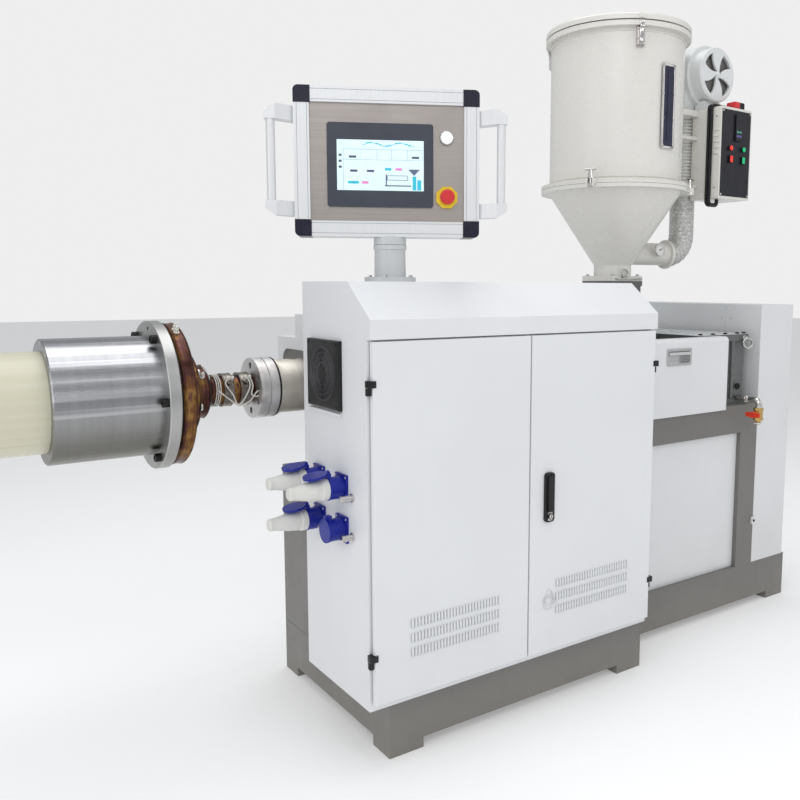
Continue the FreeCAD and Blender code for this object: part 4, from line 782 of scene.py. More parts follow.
class Form:
    """Adds shapes to one working mesh; every size is in metres."""

    def __init__(self) -> None:
        """Start with nothing."""
        self.shape = bmesh.new()

    def block(self, low: Vector, high: Vector, edge: float = 0.001, index: int = 0,
              turn: Matrix | None = None, segments: int = 2) -> None:
        """Add a box with rounded edges.

        Args:
            low: Lowest corner.
            high: Highest corner.
            edge: Radius of its edges.
            index: Material index.
            turn: Transform applied afterwards.
            segments: Steps round each edge.
        """
        part = bmesh.new()
        bmesh.ops.create_cube(part, size=1.0)
        size = high - low
        bmesh.ops.scale(part, vec=size, verts=part.verts)
        bmesh.ops.translate(part, vec=(low + high) / 2, verts=part.verts)
        if edge > 0:
            bmesh.ops.bevel(part, geom=list(part.edges), offset=min(edge, min(size) * 0.45),
                            segments=segments, affect="EDGES", profile=0.5)
        self._take(part, index, turn)

    def lathe(self, profile: Sequence[tuple[float, float]], base: Vector, axis: Vector, steps: int = 32,
              index: int = 0) -> None:
        """Add a shape turned about an axis; the profile's ends are closed.

        Args:
            profile: (distance along the axis, radius) pairs.
            base: Point where the distance is zero.
            axis: Direction of the axis.
            steps: Sides round the axis.
            index: Material index.
        """
        part = bmesh.new()
        rings: list[list[bmesh.types.BMVert]] = []
        for along, radius in profile:
            if radius < 1e-7:
                rings.append([part.verts.new((0, 0, along))])
                continue
            rings.append([part.verts.new((radius * math.cos(a), radius * math.sin(a), along))
                          for a in (2 * math.pi * i / steps for i in range(steps))])
        for lower, upper in zip(rings, rings[1:]):
            for i in range(steps):
                j = (i + 1) % steps
                corners = [lower[i % len(lower)], lower[j % len(lower)], upper[j % len(upper)], upper[i % len(upper)]]
                unique = list(dict.fromkeys(corners))
                if len(unique) > 2:
                    part.faces.new(unique)
        for ring in (rings[0], rings[-1]):
            if len(ring) > 2:
                part.faces.new(ring)
        self._take(part, index, stand(base, axis))

    def ring(self, centre: Vector, axis: Vector, radius: float, thick: float, index: int = 0,
             steps: int = 40, sides: int = 10) -> None:
        """Add a round ring.

        Args:
            centre: Middle of the ring.
            axis: Direction square to the ring.
            radius: Radius of the ring's middle line.
            thick: Radius of its section.
            index: Material index.
            steps: Sides round the ring.
            sides: Sides round its section.
        """
        part = bmesh.new()
        grid = [[part.verts.new(((radius + thick * math.cos(b)) * math.cos(a),
                                 (radius + thick * math.cos(b)) * math.sin(a), thick * math.sin(b)))
                 for b in (2 * math.pi * k / sides for k in range(sides))]
                for a in (2 * math.pi * k / steps for k in range(steps))]
        for i in range(steps):
            for j in range(sides):
                part.faces.new((grid[i][j], grid[(i + 1) % steps][j],
                                grid[(i + 1) % steps][(j + 1) % sides], grid[i][(j + 1) % sides]))
        self._take(part, index, stand(centre, axis))

    def wire(self, points: Sequence[Vector], radius: float, index: int = 0, sides: int = 8, fill: int = 6) -> None:
        """Add a round wire along a smooth line through points.

        Args:
            points: Points on the line.
            radius: Radius of the wire.
            index: Material index.
            sides: Sides round the wire.
            fill: Steps between two points.
        """
        line = self._smooth(points, fill)
        part = bmesh.new()
        rings = []
        side = None
        for i, point in enumerate(line):
            ahead = (line[min(i + 1, len(line) - 1)] - line[max(i - 1, 0)]).normalized()
            if side is None:
                side = ahead.orthogonal().normalized()
            side = (side - ahead * side.dot(ahead)).normalized()
            other = ahead.cross(side)
            rings.append([part.verts.new(point + radius * (math.cos(a) * side + math.sin(a) * other))
                          for a in (2 * math.pi * k / sides for k in range(sides))])
        for lower, upper in zip(rings, rings[1:]):
            for k in range(sides):
                part.faces.new((lower[k], lower[(k + 1) % sides], upper[(k + 1) % sides], upper[k]))
        part.faces.new(rings[0])
        part.faces.new(rings[-1])
        self._take(part, index, None)

    @staticmethod
    def _smooth(points: Sequence[Vector], fill: int) -> list[Vector]:
        """Pass a smooth line through points.

        Args:
            points: Points on the line.
            fill: Steps between two points.

        Returns:
            The points of the line.
        """
        padded = [2 * points[0] - points[1], *points, 2 * points[-1] - points[-2]]
        line = []
        for a, b, c, d in zip(padded, padded[1:], padded[2:], padded[3:]):
            for k in range(fill):
                t = k / fill
                line.append(0.5 * (2 * b + (c - a) * t + (2 * a - 5 * b + 4 * c - d) * t * t
                                   + (3 * b - a - 3 * c + d) * t ** 3))
        return [*line, points[-1].copy()]

    def _take(self, part: bmesh.types.BMesh, index: int, turn: Matrix | None) -> None:
        """Move a part into the working mesh.

        Args:
            part: The part, which is freed.
            index: Material index of its faces.
            turn: Transform, or none.
        """
        if turn is not None:
            bmesh.ops.transform(part, matrix=turn, verts=part.verts)
        bmesh.ops.recalc_face_normals(part, faces=part.faces)
        for face in part.faces:
            face.material_index = index
        scrap = bpy.data.meshes.new("scrap")
        part.to_mesh(scrap)
        part.free()
        self.shape.from_mesh(scrap)
        bpy.data.meshes.remove(scrap)

    def mesh(self, name: str) -> bpy.types.Mesh:
        """Give the finished mesh.

        Args:
            name: Name of the mesh.

        Returns:
            The mesh.
        """
        mesh = bpy.data.meshes.new(name)
        self.shape.to_mesh(mesh)
        self.shape.free()
        return mesh


# ------------------------------------------------------------------ geometry nodes


class Trees:
    """Node trees for what repeats: fastener heads, pressed louvres and hose ribs."""

    def __init__(self) -> None:
        """Build the three trees."""
        self.heads = self._heads_tree()
        self.louvres = self._louvre_tree()
        self.ribs = self._rib_tree()

    @staticmethod
    def _start(name: str, inputs: Sequence[tuple[str, str, Any]]) -> tuple[bpy.types.NodeTree, Any, Any]:
        """Start a tree with its named inputs.

        Args:
            name: Name of the tree.
            inputs: (name, socket type, default) for each input after the geometry.

        Returns:
            The tree, its input node and its output node.
        """
        tree = bpy.data.node_groups.new(name, "GeometryNodeTree")
        tree.interface.new_socket("Geometry", in_out="INPUT", socket_type="NodeSocketGeometry")
        for label, kind, default in inputs:
            socket = tree.interface.new_socket(label, in_out="INPUT", socket_type=kind)
            if default is not None:
                socket.default_value = default
        tree.interface.new_socket("Geometry", in_out="OUTPUT", socket_type="NodeSocketGeometry")
        return tree, tree.nodes.new("NodeGroupInput"), tree.nodes.new("NodeGroupOutput")

    @staticmethod
    def _close(tree: bpy.types.NodeTree, instances: Any, source: Any, sink: Any) -> None:
        """End a tree in Realize Instances and Set Material."""
        real = tree.nodes.new("GeometryNodeRealizeInstances")
        paint = tree.nodes.new("GeometryNodeSetMaterial")
        tree.links.new(instances, real.inputs["Geometry"])
        tree.links.new(real.outputs["Geometry"], paint.inputs["Geometry"])
        tree.links.new(source.outputs["Finish"], paint.inputs["Material"])
        tree.links.new(paint.outputs["Geometry"], sink.inputs["Geometry"])

    def _heads_tree(self) -> bpy.types.NodeTree:
        """Build the tree that sets a head on every point, facing the point's aim."""
        tree, source, sink = self._start("fastener_heads", (
            ("Head", "NodeSocketObject", None), ("Finish", "NodeSocketMaterial", None)))
        head = tree.nodes.new("GeometryNodeObjectInfo")
        aim = tree.nodes.new("GeometryNodeInputNamedAttribute")
        aim.data_type = "FLOAT_VECTOR"
        aim.inputs["Name"].default_value = "aim"
        turn = tree.nodes.new("FunctionNodeAlignRotationToVector")
        turn.axis = "Z"
        spread = tree.nodes.new("GeometryNodeInstanceOnPoints")
        link = tree.links.new
        link(source.outputs["Head"], head.inputs["Object"])
        link(aim.outputs["Attribute"], turn.inputs["Vector"])
        link(source.outputs["Geometry"], spread.inputs["Points"])
        link(head.outputs["Geometry"], spread.inputs["Instance"])
        link(turn.outputs["Rotation"], spread.inputs["Rotation"])
        self._close(tree, spread.outputs["Instances"], source, sink)
        return tree

    def _louvre_tree(self) -> bpy.types.NodeTree:
        """Build the tree that presses rows of upright oval louvres."""
        tree, source, sink = self._start("pressed_louvres", (
            ("Columns", "NodeSocketInt", 29), ("Rows", "NodeSocketInt", 3),
            ("Field Width", "NodeSocketFloat", 0.3), ("Field Height", "NodeSocketFloat", 0.08),
            ("Slot Size", "NodeSocketVector", (0.008, 0.03, 0.006)), ("Finish", "NodeSocketMaterial", None)))
        grid = tree.nodes.new("GeometryNodeMeshGrid")
        dome = tree.nodes.new("GeometryNodeMeshUVSphere")
        dome.inputs["Segments"].default_value = 12
        dome.inputs["Rings"].default_value = 6
        dome.inputs["Radius"].default_value = 0.5
        spread = tree.nodes.new("GeometryNodeInstanceOnPoints")
        link = tree.links.new
        link(source.outputs["Field Width"], grid.inputs["Size X"])
        link(source.outputs["Field Height"], grid.inputs["Size Y"])
        link(source.outputs["Columns"], grid.inputs["Vertices X"])
        link(source.outputs["Rows"], grid.inputs["Vertices Y"])
        link(grid.outputs["Mesh"], spread.inputs["Points"])
        link(dome.outputs["Mesh"], spread.inputs["Instance"])
        link(source.outputs["Slot Size"], spread.inputs["Scale"])
        self._close(tree, spread.outputs["Instances"], source, sink)
        return tree

    def _rib_tree(self) -> bpy.types.NodeTree:
        """Build the tree that sets hoops along a line."""
        tree, source, sink = self._start("hose_ribs", (
            ("Pitch", "NodeSocketFloat", 0.01), ("Radius", "NodeSocketFloat", 0.04),
            ("Thickness", "NodeSocketFloat", 0.003), ("Finish", "NodeSocketMaterial", None)))
        line = tree.nodes.new("GeometryNodeMeshToCurve")
        step = tree.nodes.new("GeometryNodeResampleCurve")
        step.mode = "LENGTH"
        hoop = tree.nodes.new("GeometryNodeCurvePrimitiveCircle")
        hoop.inputs["Resolution"].default_value = 36
        section = tree.nodes.new("GeometryNodeCurvePrimitiveCircle")
        section.inputs["Resolution"].default_value = 8
        sweep = tree.nodes.new("GeometryNodeCurveToMesh")
        tangent = tree.nodes.new("GeometryNodeInputTangent")
        turn = tree.nodes.new("FunctionNodeAlignRotationToVector")
        turn.axis = "Z"
        spread = tree.nodes.new("GeometryNodeInstanceOnPoints")
        link = tree.links.new
        link(source.outputs["Geometry"], line.inputs["Mesh"])
        link(line.outputs["Curve"], step.inputs["Curve"])
        link(source.outputs["Pitch"], step.inputs["Length"])
        link(source.outputs["Radius"], hoop.inputs["Radius"])
        link(source.outputs["Thickness"], section.inputs["Radius"])
        link(hoop.outputs["Curve"], sweep.inputs["Curve"])
        link(section.outputs["Curve"], sweep.inputs["Profile Curve"])
        link(tangent.outputs["Tangent"], turn.inputs["Vector"])
        link(step.outputs["Curve"], spread.inputs["Points"])
        link(sweep.outputs["Mesh"], spread.inputs["Instance"])
        link(turn.outputs["Rotation"], spread.inputs["Rotation"])
        self._close(tree, spread.outputs["Instances"], source, sink)
        return tree

    @staticmethod
    def grow(tree: bpy.types.NodeTree, mesh: bpy.types.Mesh, values: dict[str, Any]) -> bpy.types.Mesh:
        """Run a tree on a mesh and give the plain result.

        Args:
            tree: The node tree.
            mesh: Its input geometry.
            values: Input values by name.

        Returns:
            A mesh with nothing live on it.
        """
        holder = bpy.data.objects.new("holder", mesh)
        bpy.context.scene.collection.objects.link(holder)
        live = holder.modifiers.new("grow", "NODES")
        live.node_group = tree
        for item in tree.interface.items_tree:
            if item.item_type == "SOCKET" and item.in_out == "INPUT" and item.name in values:
                live[item.identifier] = values[item.name]
        bpy.context.view_layer.update()
        graph = bpy.context.evaluated_depsgraph_get()
        result = bpy.data.meshes.new_from_object(holder.evaluated_get(graph))
        holder.modifiers.remove(live)
        bpy.data.objects.remove(holder)
        return result


@dataclass(frozen=True)
class Fastener:
    """One size of fastener head, in metres."""

    kind: HeadKind
    radius: float
    height: float

    def mesh(self) -> bpy.types.Mesh:
        """Build the head, standing on zero and facing up.

        Returns:
            The head's mesh.
        """
        form = Form()
        up = Axis.UP.vector()
        r, h = self.radius, self.height
        if self.kind is HeadKind.SOCKET:
            form.lathe([(0, r), (h * 0.9, r), (h, r * 0.92), (h, r * 0.58), (h * 0.45, r * 0.52), (h * 0.45, 0)],
                       Vector(), up, 18)
        elif self.kind is HeadKind.HEX:
            form.lathe([(0, r * 1.35), (h * 0.16, r * 1.35), (h * 0.18, r * 1.1)], Vector(), up, 18)
            form.lathe([(h * 0.16, r), (h * 0.88, r), (h, r * 0.86), (h, 0)], Vector(), up, 6)
        else:
            form.lathe([(0, r), (h * 0.35, r * 0.97), (h * 0.8, r * 0.72), (h, r * 0.3), (h * 0.72, r * 0.16),
                        (h * 0.72, 0)], Vector(), up, 14)
        return form.mesh("head")

    def fit(self, bench: Bench, name: str, places: Sequence[tuple[Vector, Vector]], finish: str, body: str,
            slot: str) -> None:
        """Set heads at places and keep them as one piece.

        Args:
            bench: The bench.
            name: Name of the piece.
            places: (point, facing direction) of each head.
            finish: Name of its finish.
            body: The body that carries it.
            slot: The record's slot.
        """
        points = bpy.data.meshes.new("points")
        points.from_pydata([tuple(p) for p, _ in places], [], [])
        aim = points.attributes.new("aim", "FLOAT_VECTOR", "POINT")
        for item, (_, direction) in zip(aim.data, places):
            item.vector = direction
        pattern = bpy.data.objects.new("pattern", self.mesh())
        bpy.context.scene.collection.objects.link(pattern)
        mesh = Trees.grow(bench.trees.heads, points, {"Head": pattern, "Finish": bench.finishes.get(finish)})
        bpy.data.objects.remove(pattern)
        bench.keep(name, mesh, [finish], body, slot, 30.0)


# ------------------------------------------------------------------ sub-assemblies


@dataclass
class SteelFrame:
    """Grey frame and plinth, their decks and the white sheets set into them."""

    weld: float = 3.0

    def build(self, bench: Bench) -> None:
        """Dress the frame and lay its weld beads.

        Args:
            bench: The bench.
        """
        bench.dress("frame_enamel", "plinth", "lower_frame", "frame_posts", "upper_frame", "decks", "barrel_supports")
        bench.dress("guard_white", "infill_panels")
        at = bench.datum.at
        form = Form()
        for x in (1158, 1772):
            for z in (732, 179):
                form.wire([at(x + 2, 157, z), at(x + 38, 156.2, z), at(x + 76, 157, z)], self.weld * MM / 2)
        for z in (179, 732):
            form.wire([at(1080, 156, z), at(1118, 155.4, z), at(1156, 156, z)], self.weld * MM / 2)
        form.wire([at(75.2, 388, 172), at(75.2, 550, 172.2), at(75.2, 720, 172)], self.weld * MM / 2)
        bench.add("frame_welds", form, ["frame_enamel"], "machine", "frame_grey")


@dataclass
class ControlCabinet:
    """White cabinet with two louvred doors, lock, hinges and side fan."""

    louvre_columns: int = 29
    louvre_rows: int = 3
    fan: tuple[float, float] = (231.0, 1065.0)
    blades: int = 7
    guard_rings: int = 11
    hinges: tuple[float, float] = (297.0, 1028.0)
    slot_size: tuple[float, float, float] = (7.8, 30.0, 8.4)
    fields: dict[str, tuple[float, float, float, float]] = field(default_factory=lambda: {
        "left_door": (118.0, 423.0, 302.0, 414.0), "right_door": (641.0, 955.0, 304.0, 418.0)})

    def build(self, bench: Bench) -> None:
        """Dress the cabinet and make its small pieces.

        Args:
            bench: The bench.
        """
        bench.dress("white_powder_coat", "cabinet_body", "cabinet_hood", "left_door", "right_door")
        bench.dress("black_moulding", "hinge_blocks", "door_handle", "fan_guard")
        self._louvres(bench)
        self._scuff(bench)
        self._lock(bench)
        self._fan(bench)
        self._edges(bench)

    def _louvres(self, bench: Bench) -> None:
        """Press the two fields of louvres, one on each door, each louvre with a strip of painted shadow beside it."""
        width, height, relief = (s * MM for s in self.slot_size)
        for door, (x0, x1, z0, z1) in self.fields.items():
            centre = bench.datum.at((x0 + x1) / 2, 0, (z0 + z1) / 2)
            centre.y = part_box(door)[0].y
            # The first pass presses the louvres; the second lays a grey strip beside each one as painted shadow.
            for label, finish, slot, size, shift in (
                    ("louvres", "white_powder_coat", "cabinet_white", (width, height, relief), (0.6, 1.2, 0)),
                    ("louvre_gaps", "shade_and_scuff_grey", "blower_white", (width * 0.34, height * 0.90, 3.6 * MM),
                     (-3.6, 1.4, -0.8))):
                mesh = Trees.grow(bench.trees.louvres, bpy.data.meshes.new("seed"), {
                    "Columns": self.louvre_columns, "Rows": self.louvre_rows,
                    "Field Width": (x1 - x0) * MM - width, "Field Height": (z1 - z0) * MM - height,
                    "Slot Size": size, "Finish": bench.finishes.get(finish)})
                mesh.transform(Matrix.Translation(centre + Vector(shift) * MM)
                               @ Matrix.Rotation(math.radians(90), 4, "X"))
                bench.keep(f"{door}_{label}", mesh, [finish], door, slot, 60.0)

    def _scuff(self, bench: Bench) -> None:
        """Draw the faint curly scratch beside the right door's louvres."""
        form = Form()
        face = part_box("left_door")[0].y
        for turns, reach, squash in ((2.2, 27.0, 0.8), (1.4, 20.0, 1.3), (0.7, 34.0, 0.5)):
            points = []
            for k in range(14):
                a = turns * 2 * math.pi * k / 13
                point = bench.datum.at(612 + reach * math.cos(a) * (1 - 0.03 * k), 0,
                                       352 + squash * reach * math.sin(a) + 2.2 * k - 14)
                point.y = face
                points.append(point)
            form.wire(points, 0.45 * MM, 0, 5, 4)
        bench.add("door_scuff", form, ["shade_and_scuff_grey"], "right_door", "blower_white")

    def _lock(self, bench: Bench) -> None:
        """Make the key barrel's plated face and its slot."""
        low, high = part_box("door_handle")
        x = (low.x + high.x) / 2
        base = Vector((x, low.y + 3 * MM, low.z + 18 * MM))
        form = Form()
        form.block(Vector((x - 8.5 * MM, low.y + 6 * MM, low.z + 5 * MM)),
                   Vector((x + 8.5 * MM, low.y + 8.6 * MM, low.z + 31 * MM)), 2 * MM, 0)
        form.lathe([(0, 7 * MM), (1.2 * MM, 7 * MM), (2.0 * MM, 6.2 * MM), (2.0 * MM, 0)], base,
                   Axis.FRONT.vector(), 28, 0)
        form.block(base + Vector((-0.9 * MM, -2.4 * MM, -3.6 * MM)), base + Vector((0.9 * MM, -1.7 * MM, 3.6 * MM)),
                   0.0, 1)
        bench.add("lock_barrel", form, ["latch_plate", "shadow_gap"], "right_door", "connector_chrome")

    def _fan(self, bench: Bench) -> None:
        """Make the fan's blades, the guard's rings, the drip lip under it and its screws."""
        at = bench.datum.at
        form = Form()
        for blade in range(self.blades):
            turn = (Matrix.Translation(at(-2, *self.fan)) @ Matrix.Rotation(blade * 2 * math.pi / self.blades, 4, "X")
                    @ Matrix.Rotation(math.radians(28), 4, "Y"))
            form.block(mm(-0.6, 20, -13), mm(0.6, 68, 13), 0.0004, 0, turn)
        bench.add("fan_blades", form, ["black_moulding"], "machine", "black_plastic")
        # The rings' lighter grey is painted sheen on top of their real gloss.
        grille = Form()
        for k in range(self.guard_rings):
            grille.ring(at(-13.4, *self.fan), Axis.LEFT.vector(), (24.5 + 5.1 * k) * MM, 0.9 * MM, 0, 64, 6)
        bench.add("fan_grille", grille, ["grille_gloss_painted_sheen"], "machine", "black_plastic")
        lip = Form()
        lip.block(at(-9, 134, 962), at(0.2, 328, 964.5), 0.6 * MM)
        lip.block(at(-9, 134, 956), at(-7.4, 328, 964.4), 0.6 * MM)
        bench.add("fan_drip_lip", lip, ["white_powder_coat"], "machine", "cabinet_white")
        spots = [(at(-13.9, y, z), Axis.LEFT.vector()) for y in (146, 316) for z in (980, 1150)]
        Fastener(HeadKind.PAN, 4.2 * MM, 2.0 * MM).fit(bench, "fan_screws", spots, "black_screw", "machine",
                                                       "black_plastic")

    def _edges(self, bench: Bench) -> None:
        """Make the door seals and the covers on the doors' halves of the hinges."""
        at = bench.datum.at
        form = Form()
        for x0, x1 in ((10.0, 527.0), (539.0, 1058.0)):
            for a, b in ((at(x0, -4.8, 205), at(x0 + 6, 0.1, 1158)), (at(x1 - 6, -4.8, 205), at(x1, 0.1, 1158)),
                         (at(x0, -4.8, 199), at(x1, 0.1, 205)), (at(x0, -4.8, 1158), at(x1, 0.1, 1163))):
                form.block(a, b, 1 * MM)
        bench.add("door_seals", form, ["black_rubber"], "machine", "black_plastic")
        for door, side_x, inward in (("left_door", 0.0, 1.0), ("right_door", 1068.0, -1.0)):
            covers = Form()
            for z in self.hinges:
                xs = sorted((side_x - inward * 7.2, side_x + inward * 15.4))
                covers.block(at(xs[0], -22.9, z + 20.3), at(xs[1], -15.5, z + 39.2), 1.2 * MM)
                xs = sorted((side_x - inward * 7.4, side_x + inward * 6.6))
                covers.block(at(xs[0], -20.0, z + 20.3), at(xs[1], -1.6, z + 39.2), 1.2 * MM)
            bench.add(f"{door}_hinge_covers", covers, ["black_moulding"], door, "black_plastic")


@dataclass
class PowerInlets:
    """Blue sockets, white plugs and plated sensor connectors on the cabinet's left side."""

    rows: tuple[float, float] = (762.0, 646.0)
    columns: tuple[float, float] = (142.0, 280.0)

    def build(self, bench: Bench) -> None:
        """Dress the inlets and make flange screws, collars, plug ribs and connector rings.

        Args:
            bench: The bench.
        """
        bench.dress("socket_blue", "power_sockets")
        bench.dress("plug_white", "power_plugs")
        bench.dress("latch_plate", "sensor_connectors")
        at = bench.datum.at
        left = Axis.LEFT.vector()
        spots = [(at(-5.8, y + dy, z + dz), left) for y in self.columns for z in self.rows
                 for dy in (-27, 27) for dz in (-30, 30)]
        Fastener(HeadKind.PAN, 3.8 * MM, 2.4 * MM).fit(bench, "socket_screws", spots, "screw_zinc", "machine",
                                                       "connector_chrome")
        rings = Form()
        collars = Form()
        for y in self.columns:
            for z in self.rows:
                collars.ring(at(-47, y, z), left, 30.5 * MM, 1.6 * MM, 0, 36, 8)
                if (y, z) == (self.columns[0], self.rows[1]):
                    continue
                for k in range(4):
                    rings.ring(at(-74 - 4.2 * k, y, z), left, (26.4 - 0.2 * k) * MM, 0.9 * MM, 0, 36, 6)
                rings.lathe([(0, 18 * MM), (10 * MM, 18 * MM), (14 * MM, 14 * MM), (14 * MM, 0)],
                            at(-146, y, z), left, 12, 0)
        bench.add("plug_ribs", rings, ["plug_white"], "machine", "plug_white")
        bench.add("socket_collars", collars, ["socket_blue"], "machine", "socket_blue")
        nuts = Form()
        for y, z in ((86.0, 742.0), (86.0, 634.0), (224.0, 634.0)):
            for x in (-12, -20, -30):
                nuts.ring(at(x, y, z), left, 9.2 * MM, 0.8 * MM, 0, 24, 6)
        bench.add("connector_rings", nuts, ["latch_plate"], "machine", "connector_chrome")


@dataclass
class BarrelLine:
    """Barrel, its clamp and neck heaters, and the white guard over them."""

    clamp_circle: float = 68.0
    neck_reach: float = 46.0

    def build(self, bench: Bench) -> None:
        """Dress the barrel line and add bolts, bands and wires.

        Args:
            bench: The bench.
        """
        bench.dress("barrel_steel", "barrel")
        bench.dress("clamp_steel", "barrel_clamp")
        bench.dress("band_steel", "neck_heaters")
        bench.dress("guard_white", "barrel_guard")
        self._clamp(bench)
        self._heaters(bench)
        self._wires(bench)

    def _clamp(self, bench: Bench) -> None:
        """Set bolts in the clamp's holes and the dark seal behind it."""
        spots = [(bench.datum.round_line(-82, self.clamp_circle, 30 + 60 * k), Axis.LEFT.vector())
                 for k in range(6)]
        Fastener(HeadKind.SOCKET, 8.5 * MM, 9 * MM).fit(bench, "clamp_bolts", spots, "black_screw", "machine",
                                                        "barrel_steel")
        form = Form()
        form.ring(bench.datum.at(-39, LINE_Y, LINE_Z), Axis.LEFT.vector(), 88 * MM, 3.2 * MM, 0, 64, 10)
        bench.add("clamp_seal", form, ["black_rubber"], "machine", "black_plastic")

    def _heaters(self, bench: Bench) -> None:
        """Make the heater bands' lapped clamping ears, screws and terminals."""
        at = bench.datum.at
        bands = Form()
        knobs = Form()
        for x0, width in ((-196.0, 30.0), (-146.0, 34.0)):
            middle = x0 + width / 2
            for x in (x0 + 2, x0 + width - 2):
                bands.ring(at(x, LINE_Y, LINE_Z), Axis.LEFT.vector(), 49 * MM, 1.2 * MM, 0, 48, 6)
            for z in (1012, 1024):
                bands.block(at(middle - 9, 483, z), at(middle + 9, 497, z + 4), 1 * MM)
            bands.lathe([(0, 3 * MM), (26 * MM, 3 * MM)], at(middle, 488, 1008), Axis.UP.vector(), 14, 0)
            for side in (-7, 7):
                knobs.lathe([(0, 5 * MM), (7 * MM, 5 * MM), (9 * MM, 3.2 * MM), (12 * MM, 3.2 * MM), (12 * MM, 0)],
                            at(middle + side, 494, 1036), Vector((0, -0.75, 0.66)), 16, 0)
        bench.add("heater_ears", bands, ["band_steel"], "machine", "barrel_steel")
        bench.add("heater_terminals", knobs, ["ceramic"], "machine", "plug_white")

    def _wires(self, bench: Bench) -> None:
        """Lay the heater and sensor wires that are tied round the neck."""
        at = bench.datum.at
        form = Form()
        for shift in (0.0, 6.0, 12.0):
            turns = []
            for k in range(13):
                a = math.radians(-30 + 30 * k)
                turns.append(at(-219 + shift + 1.2 * math.sin(2 * a), LINE_Y - self.neck_reach * math.cos(a),
                                LINE_Z + self.neck_reach * math.sin(a)))
            form.wire(turns, 1.7 * MM)
        for lead in (((-182, 492, 1044), (-196, 484, 1024), (-176, 480, 990), (-160, 482, 958),
                      (-128, 478, 968), (-112, 474, 990), (-101, 480, 998)),
                     ((-136, 489, 1046), (-124, 482, 1020), (-136, 479, 988), (-160, 481, 960),
                      (-186, 484, 978), (-214, 496, 1004)),
                     ((-124, 489, 1046), (-116, 480, 1016), (-122, 476, 990), (-108, 474, 982), (-101, 478, 984)),
                     ((-320, 500, 1112), (-300, 492, 1072), (-276, 484, 1040), (-254, 480, 1030),
                      (-244, 486, 1048), (-262, 496, 1080))):
            form.wire([at(*point) for point in lead], 2.0 * MM)
        bench.add("heater_wires", form, ["heater_wire"], "machine", "plug_white")


@dataclass
class PipeDie:
    """Die rings, flange, sizing sleeve and the short stretch of pipe."""

    bolts: int = 6
    bolt_circle: float = 187.0
    hole_circle: float = 189.0
    hole_angle: float = 95.0
    hex_circle: float = 97.0

    def build(self, bench: Bench) -> None:
        """Dress the die and make its bolts, empty hole, dark joint and terminals.

        Args:
            bench: The bench.
        """
        bench.dress("tempered_steel", "die_body")
        bench.dress("turned_flange", "die_flange")
        bench.dress("turned_aluminium", "sizing_sleeve")
        bench.dress("milky_pipe", "extruded_pipe")
        at = bench.datum.at
        left = Axis.LEFT.vector()
        spots = [(self._on_flange(bench, self.bolt_circle, 360 / self.bolts * k, 0.2), left)
                 for k in range(self.bolts)]
        Fastener(HeadKind.SOCKET, 12 * MM, 16 * MM).fit(bench, "flange_bolts", spots, "black_screw", "machine",
                                                        "die_steel")
        hole = Form()
        hole.lathe([(0, 5 * MM), (0.5 * MM, 5 * MM), (0.5 * MM, 0)],
                   self._on_flange(bench, self.hole_circle, self.hole_angle, 0.1), left, 20)
        bench.add("flange_hole", hole, ["shadow_gap"], "machine", "black_plastic")
        gap = Form()
        gap.ring(at(-363, LINE_Y, LINE_Z), left, 190.5 * MM, 3.4 * MM, 0, 96, 8)
        bench.add("die_joint", gap, ["shadow_gap"], "machine", "black_plastic")
        self._terminals(bench)
        hexes = [(bench.datum.round_line(-286, self.hex_circle, 20 + 60 * k), Axis.RIGHT.vector())
                 for k in range(6)]
        Fastener(HeadKind.HEX, 10 * MM, 9 * MM).fit(bench, "die_hexes", hexes, "screw_zinc", "machine",
                                                    "connector_chrome")

    @staticmethod
    def _on_flange(bench: Bench, radius: float, degrees: float, lift: float) -> Vector:
        """Give a point on the flange's face.

        Args:
            bench: The bench.
            radius: Distance from the screw's line in millimetres.
            degrees: Angle above straight back.
            lift: Millimetres inwards from the face.

        Returns:
            The point in metres.
        """
        point = bench.datum.round_line(0, radius, degrees)
        point.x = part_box("die_flange")[0].x + lift * MM
        return point

    def _terminals(self, bench: Bench) -> None:
        """Make the ring heaters' band beads and terminal posts."""
        at = bench.datum.at
        left = Axis.LEFT.vector()
        bands = Form()
        posts = Form()
        for x, radius in ((-355.0, 200.3), (-328.0, 200.3), (-318.0, 118.3), (-291.0, 118.3), (-281.0, 77.3),
                          (-251.0, 77.3)):
            bands.ring(at(x, LINE_Y, LINE_Z), left, radius * MM, 1.3 * MM, 0, 96, 6)
        bench.add("die_band_beads", bands, ["tempered_steel"], "machine", "die_steel")
        for x, radius, angle in ((-342.0, 200.0, 112.0), (-342.0, 200.0, 117.0), (-304.0, 118.0, 118.0),
                                 (-304.0, 118.0, 127.0), (-266.0, 77.0, 140.0)):
            a = math.radians(angle)
            out = Vector((0, math.cos(a), math.sin(a)))
            base = at(x, LINE_Y + radius * out.y, LINE_Z + radius * out.z)
            posts.lathe([(0, 8 * MM), (3 * MM, 8 * MM), (4 * MM, 5.4 * MM), (13 * MM, 5.4 * MM),
                         (14 * MM, 3.4 * MM), (19 * MM, 3.4 * MM), (19 * MM, 0)], base, out, 16)
        bench.add("die_terminals", posts, ["ceramic"], "machine", "plug_white")


